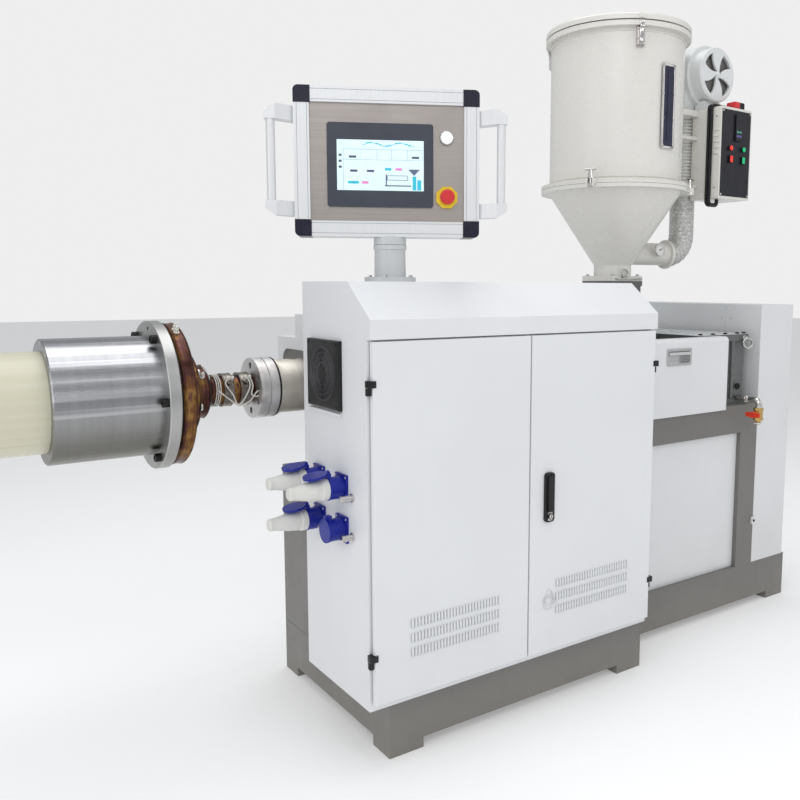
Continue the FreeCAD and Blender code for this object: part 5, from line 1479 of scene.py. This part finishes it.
@dataclass
class DriveEnd:
    """Gearbox, its cover with the pull, belt guard, feed throat and water valve."""

    pipe_x: float = 1783.0
    valve_y: float = 86.0

    def build(self, bench: Bench) -> None:
        """Dress the drive end and make its bolts, lifting ring, oil gauge and valve fittings.

        Args:
            bench: The bench.
        """
        bench.dress("gearbox_enamel", "gearbox", "feed_throat")
        bench.dress("guard_white", "drive_guard", "gearbox_cover")
        bench.dress("chrome_pull", "pull_handle")
        bench.dress("chrome_pipe", "water_pipe")
        bench.dress("cast_brass", "water_valve")
        bench.dress("lever_red", "valve_handle")
        self._gearbox(bench)
        self._valve(bench)
        self._guard(bench)

    def _gearbox(self, bench: Bench) -> None:
        """Set the lid's plates and bolts, the lifting ring and the oil gauge."""
        at = bench.datum.at
        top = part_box("gearbox")[1].z
        spots = []
        for x in (1565, 1640, 1715, 1790, 1832):
            for y in (204, 876):
                point = at(x, y, 0)
                point.z = top
                spots.append((point, Axis.UP.vector()))
        Fastener(HeadKind.HEX, 8 * MM, 8 * MM).fit(bench, "gearbox_bolts", spots, "black_screw", "machine",
                                                   "gear_grey")
        lid = Form()
        for x0, x1 in ((1545, 1694), (1696, 1849)):
            low_corner, high_corner = at(x0, 193, 0), at(x1, 887, 0)
            low_corner.z, high_corner.z = top + 0.0002, top + 0.0024
            lid.block(low_corner, high_corner, 1 * MM)
        bench.add("gearbox_lid", lid, ["post_enamel"], "machine", "gear_grey")
        form = Form()
        form.ring(at(1816, 170, 1086), Vector((-0.5, -0.85, 0.1)).normalized(), 19 * MM, 5.6 * MM, 0, 40, 12)
        form.lathe([(0, 13 * MM), (5 * MM, 13 * MM), (9 * MM, 8 * MM), (16 * MM, 8 * MM)],
                   at(1816, 191, 1104), Axis.FRONT.vector(), 24)
        bench.add("lifting_eye", form, ["screw_zinc"], "machine", "connector_chrome")
        gauge = Form()
        gauge.lathe([(0, 13 * MM), (4 * MM, 13 * MM), (5 * MM, 11 * MM), (5 * MM, 8 * MM), (3.5 * MM, 8 * MM),
                     (3.5 * MM, 0)], at(1786, 191.2, 913), Axis.FRONT.vector(), 28)
        bench.add("oil_gauge", gauge, ["black_screw"], "machine", "black_plastic")

    def _valve(self, bench: Bench) -> None:
        """Make the pipe union, thread rings, white washer and the valve's hex ends."""
        at = bench.datum.at
        front = Axis.FRONT.vector()
        pipe = Form()
        pipe.lathe([(0, 15 * MM), (16 * MM, 15 * MM), (18 * MM, 13 * MM), (18 * MM, 0)], at(self.pipe_x, 160, 868),
                   front, 6)
        for k in range(4):
            pipe.ring(at(self.pipe_x, 138 - 2.6 * k, 868), front, 11.6 * MM, 0.7 * MM, 0, 24, 6)
        pipe.lathe([(0, 14 * MM), (12 * MM, 14 * MM)], at(self.pipe_x, self.valve_y, 850), Axis.DOWN.vector(), 24)
        bench.add("pipe_union", pipe, ["chrome_pipe"], "machine", "connector_chrome")
        washer = Form()
        washer.lathe([(0, 16 * MM), (5 * MM, 16 * MM), (5 * MM, 0)], at(self.pipe_x, self.valve_y, 781),
                     Axis.DOWN.vector(), 28)
        bench.add("valve_washer", washer, ["white_moulding"], "machine", "plug_white")
        brass = Form()
        for z in (839, 800):
            brass.lathe([(0, 19.5 * MM), (10 * MM, 19.5 * MM)], at(self.pipe_x, self.valve_y, z), Axis.DOWN.vector(), 6)
        for k in range(3):
            brass.ring(at(self.pipe_x, self.valve_y, 780 - 3 * k), Axis.DOWN.vector(), 10.2 * MM, 0.8 * MM, 0, 24, 6)
        bench.add("valve_hexes", brass, ["cast_brass"], "machine", "valve_brass")

    def _guard(self, bench: Bench) -> None:
        """Set the belt guard's side screws and its lug's dark screw."""
        at = bench.datum.at
        spots = [(at(1876.8, y, z), Axis.LEFT.vector()) for y in (300, 345) for z in (1180, 1010, 880)]
        Fastener(HeadKind.PAN, 3.6 * MM, 2 * MM).fit(bench, "guard_screws", spots, "screw_zinc", "machine",
                                                     "connector_chrome")
        spots = [(at(1872, 147, 358), Axis.FRONT.vector())]
        Fastener(HeadKind.SOCKET, 5 * MM, 3 * MM).fit(bench, "lug_screw", spots, "black_screw", "machine",
                                                      "black_plastic")


@dataclass
class HopperDryer:
    """Cream hopper with sight glass, latches, hot-air hose, blower and control box."""

    axis_x: float = 1425.0
    axis_y: float = 540.0
    port_turn: float = -10.0
    hose_reach: float = 343.0
    hose_bend: float = 75.0
    blower_x: float = 1800.0
    blower_z: float = 2149.0

    def build(self, bench: Bench) -> None:
        """Dress the dryer and make its fine pieces.

        Args:
            bench: The bench.
        """
        bench.dress("dryer_enamel", "hopper_base", "hopper_cone", "hopper_body", "hopper_lid", "inlet_pipe",
                    "dryer_control_box")
        bench.dress("glass_dark", "sight_glass")
        bench.dress("latch_plate", "hopper_clamps")
        bench.dress("foil_wrap", "hot_air_hose")
        bench.dress("blower_enamel", "blower_housing", "intake_cover")
        bench.dress("printed_black", "dryer_control_panel")
        bench.dress("black_rubber", "dryer_cables")
        self._window(bench)
        self._rims(bench)
        self._base(bench)
        self._gauge(bench)
        self._hose(bench)
        self._blower(bench)
        self._controls(bench)

    def _window(self, bench: Bench) -> None:
        """Make the sight glass's white frame, its screws and the dark level slot."""
        low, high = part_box("sight_glass")
        frame = Form()
        y0, y1 = low.y - 1.2 * MM, low.y + 6 * MM
        edge = 6 * MM
        for a, b in (((low.x - 2 * MM, low.z), (low.x + edge, high.z)),
                     ((high.x - edge, low.z), (high.x + 2 * MM, high.z)),
                     ((low.x, low.z - 3 * MM), (high.x, low.z + edge)),
                     ((low.x, high.z - edge), (high.x, high.z + 3 * MM))):
            frame.block(Vector((a[0], y0, a[1])), Vector((b[0], y1, b[1])), 1.2 * MM)
        bench.add("window_frame", frame, ["latch_plate"], "machine", "latch_steel")
        slot = Form()
        middle = (low.x + high.x) / 2
        slot.block(Vector((middle - 8 * MM, low.y - 1.6 * MM, low.z + 26 * MM)),
                   Vector((middle + 8 * MM, low.y + 1 * MM, high.z - 26 * MM)), 7 * MM, 0, None, 4)
        bench.add("window_slot", slot, ["glass_dark"], "machine", "sight_glass")
        spots = []
        for x in (low.x + 2.5 * MM, high.x - 2.5 * MM):
            for share in (0.03, 0.35, 0.65, 0.97):
                spots.append((Vector((x, y0, low.z + share * (high.z - low.z))), Axis.FRONT.vector()))
        Fastener(HeadKind.PAN, 4.4 * MM, 3 * MM).fit(bench, "window_screws", spots, "screw_zinc", "machine",
                                                     "connector_chrome")

    def _rims(self, bench: Bench) -> None:
        """Roll the beads round the body, flanges and lid, the dark flange seal and the latch links."""
        at = bench.datum.at
        up = Axis.UP.vector()
        beads = Form()
        for z, radius in ((2225, 259.0), (2240, 276.5), (2254, 276.5), (1672, 287.5), (1698, 287.5), (1712, 258.5)):
            beads.ring(at(self.axis_x, self.axis_y, z), up, radius * MM, 2.2 * MM, 0, 128, 8)
        bench.add("hopper_beads", beads, ["dryer_enamel"], "machine", "dryer_cream")
        seal = Form()
        seal.ring(at(self.axis_x, self.axis_y, 1685), up, 288.2 * MM, 1.1 * MM, 0, 128, 6)
        bench.add("flange_seal", seal, ["black_rubber"], "machine", "black_plastic")
        lid = Form()
        lid.ring(at(self.axis_x, self.axis_y, 2281), up, 272 * MM, 3 * MM, 0, 128, 8)
        bench.add("lid_bead", lid, ["dryer_enamel"], "hopper_lid", "dryer_cream")
        hooks = Form()
        for angle in (-118.0, -2.0, 122.0):
            turn = (Matrix.Translation(at(self.axis_x, self.axis_y, 0))
                    @ Matrix.Rotation(math.radians(angle), 4, "Z"))
            hooks.block(mm(273, -7, 2180), mm(277, 7, 2238), 1.5 * MM, 0, turn)
            hooks.block(mm(275, -8, 2232), mm(282, 8, 2257), 1.5 * MM, 0, turn)
            for z in (2176, 2196, 2228):
                pivot = turn @ mm(272, -12, z)
                hooks.lathe([(0, 3.2 * MM), (24 * MM, 3.2 * MM)], pivot, turn.to_3x3() @ Vector((0, 1, 0)), 14)
        bench.add("latch_links", hooks, ["latch_plate"], "machine", "latch_steel")

    def _base(self, bench: Bench) -> None:
        """Make the base's slide gate, its bolts and the ring pull."""
        low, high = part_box("hopper_base")
        gate = Form()
        gate.block(Vector((low.x + 14 * MM, low.y - 14 * MM, low.z + 6 * MM)),
                   Vector((high.x - 14 * MM, low.y + 1 * MM, low.z + 11 * MM)), 1 * MM)
        gate.ring(Vector((low.x + 62 * MM, low.y - 6 * MM, low.z + 28 * MM)), Axis.FRONT.vector(), 15 * MM,
                  4.2 * MM, 0, 36, 10)
        bench.add("slide_gate", gate, ["screw_zinc"], "machine", "connector_chrome")
        spots = [(Vector((x, y, low.z + 20 * MM)), Axis.UP.vector())
                 for x in (low.x + 14 * MM, high.x - 14 * MM) for y in (low.y + 14 * MM, high.y - 14 * MM)]
        Fastener(HeadKind.HEX, 7 * MM, 7 * MM).fit(bench, "base_bolts", spots, "screw_zinc", "machine",
                                                   "connector_chrome")

    def _gauge(self, bench: Bench) -> None:
        """Make the thermometer's rim, white face, ticks and hand."""
        at = bench.datum.at
        turn = math.radians(self.port_turn)
        out = Vector((math.sin(turn), -math.cos(turn), 0))
        reach = 173.0
        base_x = self.axis_x + reach * math.cos(turn) + 79 * math.sin(turn)
        base_y = self.axis_y + reach * math.sin(turn) - 79 * math.cos(turn)
        base = at(base_x, base_y, 1454)
        side = Vector((math.cos(turn), math.sin(turn), 0))
        rim = Form()
        rim.lathe([(-1 * MM, 26.5 * MM), (3 * MM, 26.5 * MM), (5 * MM, 25 * MM), (5 * MM, 22.5 * MM),
                   (1.5 * MM, 22 * MM)], base, out, 48)
        bench.add("gauge_rim", rim, ["chrome_pipe"], "machine", "connector_chrome")
        face = Form()
        face.lathe([(0.4 * MM, 22.4 * MM), (1.7 * MM, 22.4 * MM), (1.7 * MM, 0)], base, out, 48, 0)
        plane = Matrix((side, out.cross(side), out)).transposed().to_4x4()
        for k in range(19):
            a = math.radians(-135 + 15 * k)
            spot = Matrix.Translation(base + out * 1.9 * MM) @ plane @ Matrix.Rotation(a, 4, "Z")
            long = 5.5 if k % 3 == 0 else 3.0
            face.block(mm(-0.45, 20 - long, -0.2), mm(0.45, 20, 0.2), 0.0, 1, spot)
        hand = Matrix.Translation(base + out * 2.6 * MM) @ plane @ Matrix.Rotation(math.radians(-60), 4, "Z")
        face.block(mm(-0.9, -6, -0.25), mm(0.9, 16, 0.25), 0.0, 1, hand)
        face.lathe([(2 * MM, 3 * MM), (3.4 * MM, 3 * MM), (3.4 * MM, 0)], base, out, 20, 1)
        bench.add("gauge_face", face, ["white_moulding", "black_moulding"], "machine", "plug_white")

    def _hose(self, bench: Bench) -> None:
        """Put corrugations on the upper hose and foil wraps on the lower."""
        at = bench.datum.at
        turn = math.radians(self.port_turn)
        x = self.axis_x + self.hose_reach * math.cos(turn)
        y = self.axis_y + self.hose_reach * math.sin(turn)
        line = bpy.data.meshes.new("line")
        line.from_pydata([tuple(at(x, y, 1694)), tuple(at(x, y, 2016))], [(0, 1)], [])
        mesh = Trees.grow(bench.trees.ribs, line, {
            "Pitch": 13.0 * MM, "Radius": 43.0 * MM, "Thickness": 5.2 * MM,
            "Finish": bench.finishes.get("white_moulding")})
        bench.keep("hose_corrugations", mesh, ["white_moulding"], "machine", "plug_white", 60.0)
        points = [at(x, y, z) for z in (1690, 1640, 1590, 1540)]
        for k in range(1, 8):
            a = math.radians(90 - 90 * k / 7)
            reach = self.hose_reach - self.hose_bend + self.hose_bend * math.sin(a)
            points.append(at(self.axis_x + reach * math.cos(turn), self.axis_y + reach * math.sin(turn),
                             1440 + self.hose_bend - self.hose_bend * math.cos(a)))
        path = bpy.data.meshes.new("path")
        path.from_pydata([tuple(p) for p in points], [(k, k + 1) for k in range(len(points) - 1)], [])
        wraps = Trees.grow(bench.trees.ribs, path, {
            "Pitch": 17 * MM, "Radius": 48.5 * MM, "Thickness": 2.4 * MM, "Finish": bench.finishes.get("foil_wrap")})
        bench.keep("hose_wraps", wraps, ["foil_wrap"], "machine", "hose_silver", 60.0)

    def _blower(self, bench: Bench) -> None:
        """Make the intake's ring and hub, the dark mesh behind its openings and the seam beads."""
        low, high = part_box("intake_cover")
        centre = (low + high) / 2
        front = Axis.FRONT.vector()
        ring = Form()
        ring.ring(Vector((centre.x, low.y + 6 * MM, centre.z)), front, 101 * MM, 5.0 * MM, 0, 96, 12)
        ring.lathe([(0, 13 * MM), (5 * MM, 11 * MM), (8 * MM, 5 * MM), (8.6 * MM, 0)],
                   Vector((centre.x, low.y + 1 * MM, centre.z)), front, 28)
        bench.add("intake_ring", ring, ["blower_enamel"], "machine", "blower_white")
        mesh = Form()
        mesh.lathe([(0, 93 * MM), (1.2 * MM, 93 * MM), (1.2 * MM, 0)],
                   Vector((centre.x, high.y + 14 * MM, centre.z)), front, 64)
        bench.add("intake_mesh", mesh, ["mesh_grey"], "machine", "black_plastic")
        seam = Form()
        at = bench.datum.at
        for y in (407, 478):
            seam.ring(at(self.blower_x, y, self.blower_z), front, 121 * MM, 1.5 * MM, 0, 96, 6)
        for y in (530, 600):
            seam.ring(at(self.blower_x, y, self.blower_z), front, 76.5 * MM, 2 * MM, 0, 64, 6)
        bench.add("blower_seams", seam, ["blower_enamel"], "machine", "blower_white")

    def _controls(self, bench: Bench) -> None:
        """Light the dryer's panel and add its vents, screws and red plug."""
        at = bench.datum.at
        lamps = Form()
        for x, index in ((1799.0, 0), (1879.0, 1)):
            lamps.lathe([(0, 9.6 * MM), (2 * MM, 9.4 * MM), (3.4 * MM, 6.5 * MM), (4 * MM, 0)],
                        at(x, 273.2, 1854), Axis.FRONT.vector(), 28, index)
            rocker = 1802.0 if index == 0 else 1879.0
            lamps.block(at(rocker - 8, 271.4, 1799), at(rocker + 8, 273.4, 1824), 1.6 * MM, index)
        for z, index in ((1915, 2), (1899, 3)):
            for k in range(4):
                lamps.block(at(1832 + 8 * k, 273.5, z), at(1837 + 8 * k, 274.2, z + 8), 0.0, index)
        bench.add("control_lights", lamps, ["lens_red", "lens_green", "digits_green", "digits_violet"], "machine",
                  "control_black")
        vents = Form()
        for k in range(5):
            z = 1830 + 22 * k
            vents.block(at(1736.5, 289, z), at(1741, 314, z + 9), 2.4 * MM, 0)
            # Painted shadow: a thin grey strip under each vent ridge.
            vents.block(at(1739.2, 291, z - 2.4), at(1739.95, 312, z - 0.6), 0.0, 1)
        bench.add("control_vents", vents, ["dryer_enamel", "shade_and_scuff_grey"], "machine", "dryer_cream")
        spots = [(at(1739.9, 302, z), Axis.LEFT.vector()) for z in (1700, 1975)]
        spots += [(at(x, 281, z), Axis.FRONT.vector()) for x in (1753, 1922) for z in (1673, 1996)]
        Fastener(HeadKind.PAN, 4.6 * MM, 2.8 * MM).fit(bench, "control_screws", spots, "screw_zinc", "machine",
                                                       "connector_chrome")
        plug = Form()
        plug.block(at(1846, 298, 2013), at(1880, 342, 2044), 5 * MM, 0)
        plug.block(at(1882, 302, 2013), at(1910, 338, 2040), 4 * MM, 0)
        bench.add("dryer_plug", plug, ["stop_red"], "machine", "stop_red")


@dataclass
class OperatorPanel:
    """Swivelling panel with its screen, lit button, stop button, profile bars and grips."""

    pivot: tuple[float, float] = (201.0, 220.0)
    turn: float = -28.5
    middle_z: float = 1647.0
    middle_u: float = -26.0
    glass_v: float = -39.0
    half_width: float = 120.0
    half_height: float = 76.0
    button_u: float = 159.0
    edges: tuple[float, float, float, float] = (-263.0, 251.0, 1444.0, 1850.0)

    def frame(self, bench: Bench) -> Matrix:
        """Give the transform from the panel's own millimetres to the model.

        Args:
            bench: The bench.

        Returns:
            A matrix for points in metres: across, depth, height.
        """
        foot = bench.datum.at(self.pivot[0], self.pivot[1], 0)
        return Matrix.Translation(foot) @ Matrix.Rotation(math.radians(self.turn), 4, "Z")

    def build(self, bench: Bench) -> None:
        """Dress the panel and make its screen, grooves and screws.

        Args:
            bench: The bench.
        """
        bench.dress("post_enamel", "panel_post", "panel_neck")
        bench.dress("profile_silver", "panel_housing", "panel_handles")
        bench.dress("cap_navy", "panel_corner_caps")
        bench.dress("panel_stainless", "panel_face")
        bench.dress("bezel_slate", "touch_screen")
        bench.dress("collar_yellow", "stop_collar")
        bench.dress("stop_red", "stop_button")
        bench.dress("start_glow", "start_button")
        self._screen(bench)
        self._profile(bench)
        self._buttons(bench)
        self._screws(bench)

    def _screen(self, bench: Bench) -> None:
        """Lay out the lit screen: header, table, fields and a machine sketch, with no lettering."""
        place = self.frame(bench)
        form = Form()

        def tile(u0: float, u1: float, z0: float, z1: float, index: int, layer: int = 1) -> None:
            """Add one flat field to the screen, sizes from its lower left corner."""
            left = self.middle_u - self.half_width
            base = self.middle_z - self.half_height
            front = self.glass_v - 0.25 * layer
            form.block(mm(left + u0, front - 0.2, base + z0), mm(left + u1, front + 0.2, base + z1),
                       0.0, index, place)

        tile(0, 240, 0, 137, 0, 0)
        for k in range(16):
            wave = 124 + 4.5 * math.sin(k * 0.7)
            tile(70 + 9 * k, 78.8 + 9 * k, wave, wave + 3.2 - 1.6 * (k % 3 == 0), 1)
        tile(17, 236, 111, 111.7, 4)
        tile(17, 236, 83, 83.7, 4)
        for u in (17, 66, 110, 150, 194, 235.3):
            tile(u, u + 0.7, 83, 111.7, 4)
        tile(17, 17.7, 2, 111, 4)
        for u, z in ((33, 88), (207, 88), (36, 50), (82, 50)):
            tile(u, u + 20, z, z + 6, 3)
        for u, z, index in ((30, 18, 1), (42, 18, 1), (68, 18, 2), (132, 55, 1), (161, 55, 2)):
            tile(u, u + 18, z, z + 7, index)
        for z in (92, 76, 60):
            tile(5, 13, z, z + 6, 3)
        tile(132, 205, 12, 15, 3)
        tile(134, 137, 12, 44, 3)
        tile(137, 196, 28, 42, 4)
        tile(140, 194, 30, 40, 0, 2)
        tile(209, 219, 2, 40, 1)
        tile(222, 233, 2, 30, 1)
        for k in range(6):
            tile(198 + 3 * k, 228 - 3 * k, 56 - 3.2 * k, 58.8 - 3.2 * k, 3)
        bench.add("screen_image", form, ["screen_field", "screen_cyan", "screen_pink", "screen_slate", "screen_rule"],
                  "operator_panel", "screen_dark")

    def _profile(self, bench: Bench) -> None:
        """Lay fine dark lines for the long grooves of the profile bars."""
        place = self.frame(bench)
        form = Form()
        u0, u1, z0, z1 = self.edges
        for offset in (9.0, 36.5):
            for a, b in (((u0 + 46, z0 + offset), (u1 - 46, z0 + offset + 0.7)),
                         ((u0 + 46, z1 - offset), (u1 - 46, z1 - offset + 0.7)),
                         ((u0 + offset, z0 + 46), (u0 + offset + 0.7, z1 - 46)),
                         ((u1 - offset, z0 + 46), (u1 - offset + 0.7, z1 - 46))):
                form.block(mm(a[0], -40.25, a[1]), mm(b[0], -39.8, b[1]), 0.0, 0, place)
        for v in (-18.0, 6.0, 30.0):
            for u in (u0 - 0.25, u1 - 0.2):
                form.block(mm(u, v, z0 + 46), mm(u + 0.45, v + 1.4, z1 - 46), 0.0, 0, place)
        bench.add("profile_grooves", form, ["bezel_slate"], "operator_panel", "profile_white")

    def _buttons(self, bench: Bench) -> None:
        """Make the lit button's plated ring and the stop button's raised rim."""
        place = self.frame(bench)
        front = place.to_3x3() @ Vector((0, -1, 0))
        spot = place @ mm(self.button_u, -38, self.middle_z + 72)
        ring = Form()
        ring.ring(spot, front, 17 * MM, 2.6 * MM, 0, 48, 10)
        bench.add("start_ring", ring, ["latch_plate"], "operator_panel", "connector_chrome")
        face = place @ mm(self.button_u, -63.1, self.middle_z - 92)
        cap = Form()
        cap.ring(face, front, 12.5 * MM, 1.0 * MM, 0, 40, 8)
        bench.add("stop_rim", cap, ["stop_red"], "stop_button", "stop_red")

    def _screws(self, bench: Bench) -> None:
        """Set the back plate's screws and the post's base bolts."""
        place = self.frame(bench)
        back = place.to_3x3() @ Vector((0, 1, 0))
        spots = [(place @ mm(u, 47.0, z), back) for u in (-205, -6, 193) for z in (1500, 1794)]
        Fastener(HeadKind.PAN, 4.5 * MM, 2.6 * MM).fit(bench, "panel_back_screws", spots, "screw_zinc",
                                                       "operator_panel", "connector_chrome")
        at = bench.datum.at
        spots = [(at(self.pivot[0] + 60 * math.cos(a), self.pivot[1] + 60 * math.sin(a), 1332), Axis.UP.vector())
                 for a in (math.radians(45 + 90 * k) for k in range(4))]
        Fastener(HeadKind.HEX, 6.5 * MM, 6 * MM).fit(bench, "post_bolts", spots, "screw_zinc", "machine",
                                                     "connector_chrome")


# ------------------------------------------------------------------ studio


@dataclass
class Studio:
    """Pale floor, soft lights and the camera."""

    eye: Point = (-1.6769, -2.30215, 1.3092)
    yaw: float = -0.62
    pitch: float = -0.1158
    roll: float = 0.0036
    lens: float = 37.401
    shift: tuple[float, float] = (-0.0782, -0.0223)
    floor_grey: Colour = (0.86, 0.86, 0.86)
    floor_dim: Colour = (0.84, 0.84, 0.84)
    floor_glow: float = 0.20

    def build(self) -> None:
        """Set up the floor, lights, world and camera."""
        scene = bpy.context.scene
        scene.view_settings.view_transform = "Standard"
        self._floor()
        self._world(scene)
        for name, place, target, size, power in (
                ("key", (-3.2, -3.6, 4.2), (0.2, 0.0, 1.0), 3.2, 42.0),
                ("left", (-4.6, -0.8, 2.0), (-0.4, 0.0, 0.9), 2.6, 26.0),
                ("fill", (3.4, -3.4, 2.8), (0.6, 0.0, 1.0), 3.0, 16.0),
                ("top", (0.2, 0.4, 5.2), (0.2, 0.0, 0.6), 3.6, 90.0)):
            self._light(scene, name, place, target, size, power)
        for name, y, z, power in (("strip_a", -2.6, 3.4, 9.0), ("strip_b", -3.6, 2.2, 9.0),
                                  ("strip_c", -1.2, 4.0, 4.0)):
            self._light(scene, name, (-0.6, y, z), (-0.6, 0.0, 1.0), 4.5, power, 0.10)
        self._camera(scene)

    def _floor(self) -> None:
        """Lay the pale floor."""
        form = Form()
        form.block(Vector((-30, -30, -0.05)), Vector((30, 30, 0.0)), 0.0)
        shader = Shader("studio_floor", self.floor_grey, 0.85)
        shader.colour(shader.blend(shader.noise(1.5, 3.0), self.floor_grey, self.floor_dim))
        shader.surface.inputs["Emission Color"].default_value = (1.0, 1.0, 1.0, 1.0)
        shader.surface.inputs["Emission Strength"].default_value = self.floor_glow
        mesh = form.mesh("studio_floor")
        mesh.materials.append(shader.material)
        floor = bpy.data.objects.new("studio_floor", mesh)
        bpy.context.scene.collection.objects.link(floor)
        floor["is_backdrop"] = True

    @staticmethod
    def _world(scene: bpy.types.Scene) -> None:
        """Set an even, nearly white surround."""
        world = bpy.data.worlds.new("studio")
        world.use_nodes = True
        tree = world.node_tree
        light = tree.nodes["Background"]
        light.inputs["Color"].default_value = (0.95, 0.97, 1.0, 1.0)
        light.inputs["Strength"].default_value = 0.50
        backdrop = tree.nodes.new("ShaderNodeBackground")
        backdrop.inputs["Color"].default_value = (1.0, 1.0, 1.0, 1.0)
        backdrop.inputs["Strength"].default_value = 0.86
        path = tree.nodes.new("ShaderNodeLightPath")
        mix = tree.nodes.new("ShaderNodeMixShader")
        tree.links.new(path.outputs["Is Camera Ray"], mix.inputs["Fac"])
        tree.links.new(light.outputs["Background"], mix.inputs[1])
        tree.links.new(backdrop.outputs["Background"], mix.inputs[2])
        tree.links.new(mix.outputs["Shader"], tree.nodes["World Output"].inputs["Surface"])
        scene.world = world

    @staticmethod
    def _light(scene: bpy.types.Scene, name: str, place: Point, target: Point, size: float,
               power: float, width: float = 0.0) -> None:
        """Hang one soft light.

        Args:
            scene: The scene.
            name: Name of the light.
            place: Where it hangs.
            target: What it faces.
            size: Side of its panel.
            power: Watts.
            width: Short side of a strip, or 0 for a square panel.
        """
        data = bpy.data.lights.new(name, "AREA")
        data.size = size
        if width > 0:
            data.shape = "RECTANGLE"
            data.size_y = width
        data.energy = power
        light = bpy.data.objects.new(name, data)
        light.location = place
        back = (Vector(place) - Vector(target)).normalized()
        across = Vector((1, 0, 0)) if abs(back.x) < 0.9 else Vector((0, 1, 0))
        rise = back.cross(across).normalized()
        light.rotation_euler = Matrix((rise.cross(back), rise, back)).transposed().to_euler()
        scene.collection.objects.link(light)

    def _camera(self, scene: bpy.types.Scene) -> None:
        """Set up the camera.

        Args:
            scene: The scene.
        """
        data = bpy.data.cameras.new("camera")
        data.lens = self.lens
        data.sensor_width = 36.0
        data.shift_x, data.shift_y = self.shift
        data.clip_end = 200.0
        camera = bpy.data.objects.new("camera", data)
        right = Vector((math.cos(self.yaw), math.sin(self.yaw), 0.0))
        ahead = Vector((-math.sin(self.yaw) * math.cos(self.pitch), math.cos(self.yaw) * math.cos(self.pitch),
                        math.sin(self.pitch)))
        up = right.cross(ahead)
        basis = Matrix((right, up, -ahead)).transposed().to_4x4()
        camera.matrix_world = Matrix.Translation(self.eye) @ basis @ Matrix.Rotation(self.roll, 4, "Z")
        scene.collection.objects.link(camera)
        scene.camera = camera


def write_sizes(before: Any, after: Any) -> None:
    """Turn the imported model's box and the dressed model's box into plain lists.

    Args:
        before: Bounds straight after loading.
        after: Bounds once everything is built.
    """
    plain = [[[float(c) for c in corner] for corner in bounds] for bounds in (before, after)]


def main() -> None:
    """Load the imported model, dress it piece by piece and set up the studio."""
    logging.basicConfig(level=logging.INFO, format="%(message)s")
    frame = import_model()
    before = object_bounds()
    datum = Datum.read()
    bench = Bench(datum, Finishes(datum), frame["nodes"])
    for assembly in (SteelFrame(), ControlCabinet(), PowerInlets(), BarrelLine(), PipeDie(), DriveEnd(),
                     HopperDryer(), OperatorPanel()):
        LOG.info("building %s", type(assembly).__name__)
        assembly.build(bench)
    Studio().build()
    write_sizes(before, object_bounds())


if __name__ == "__main__":
    main()
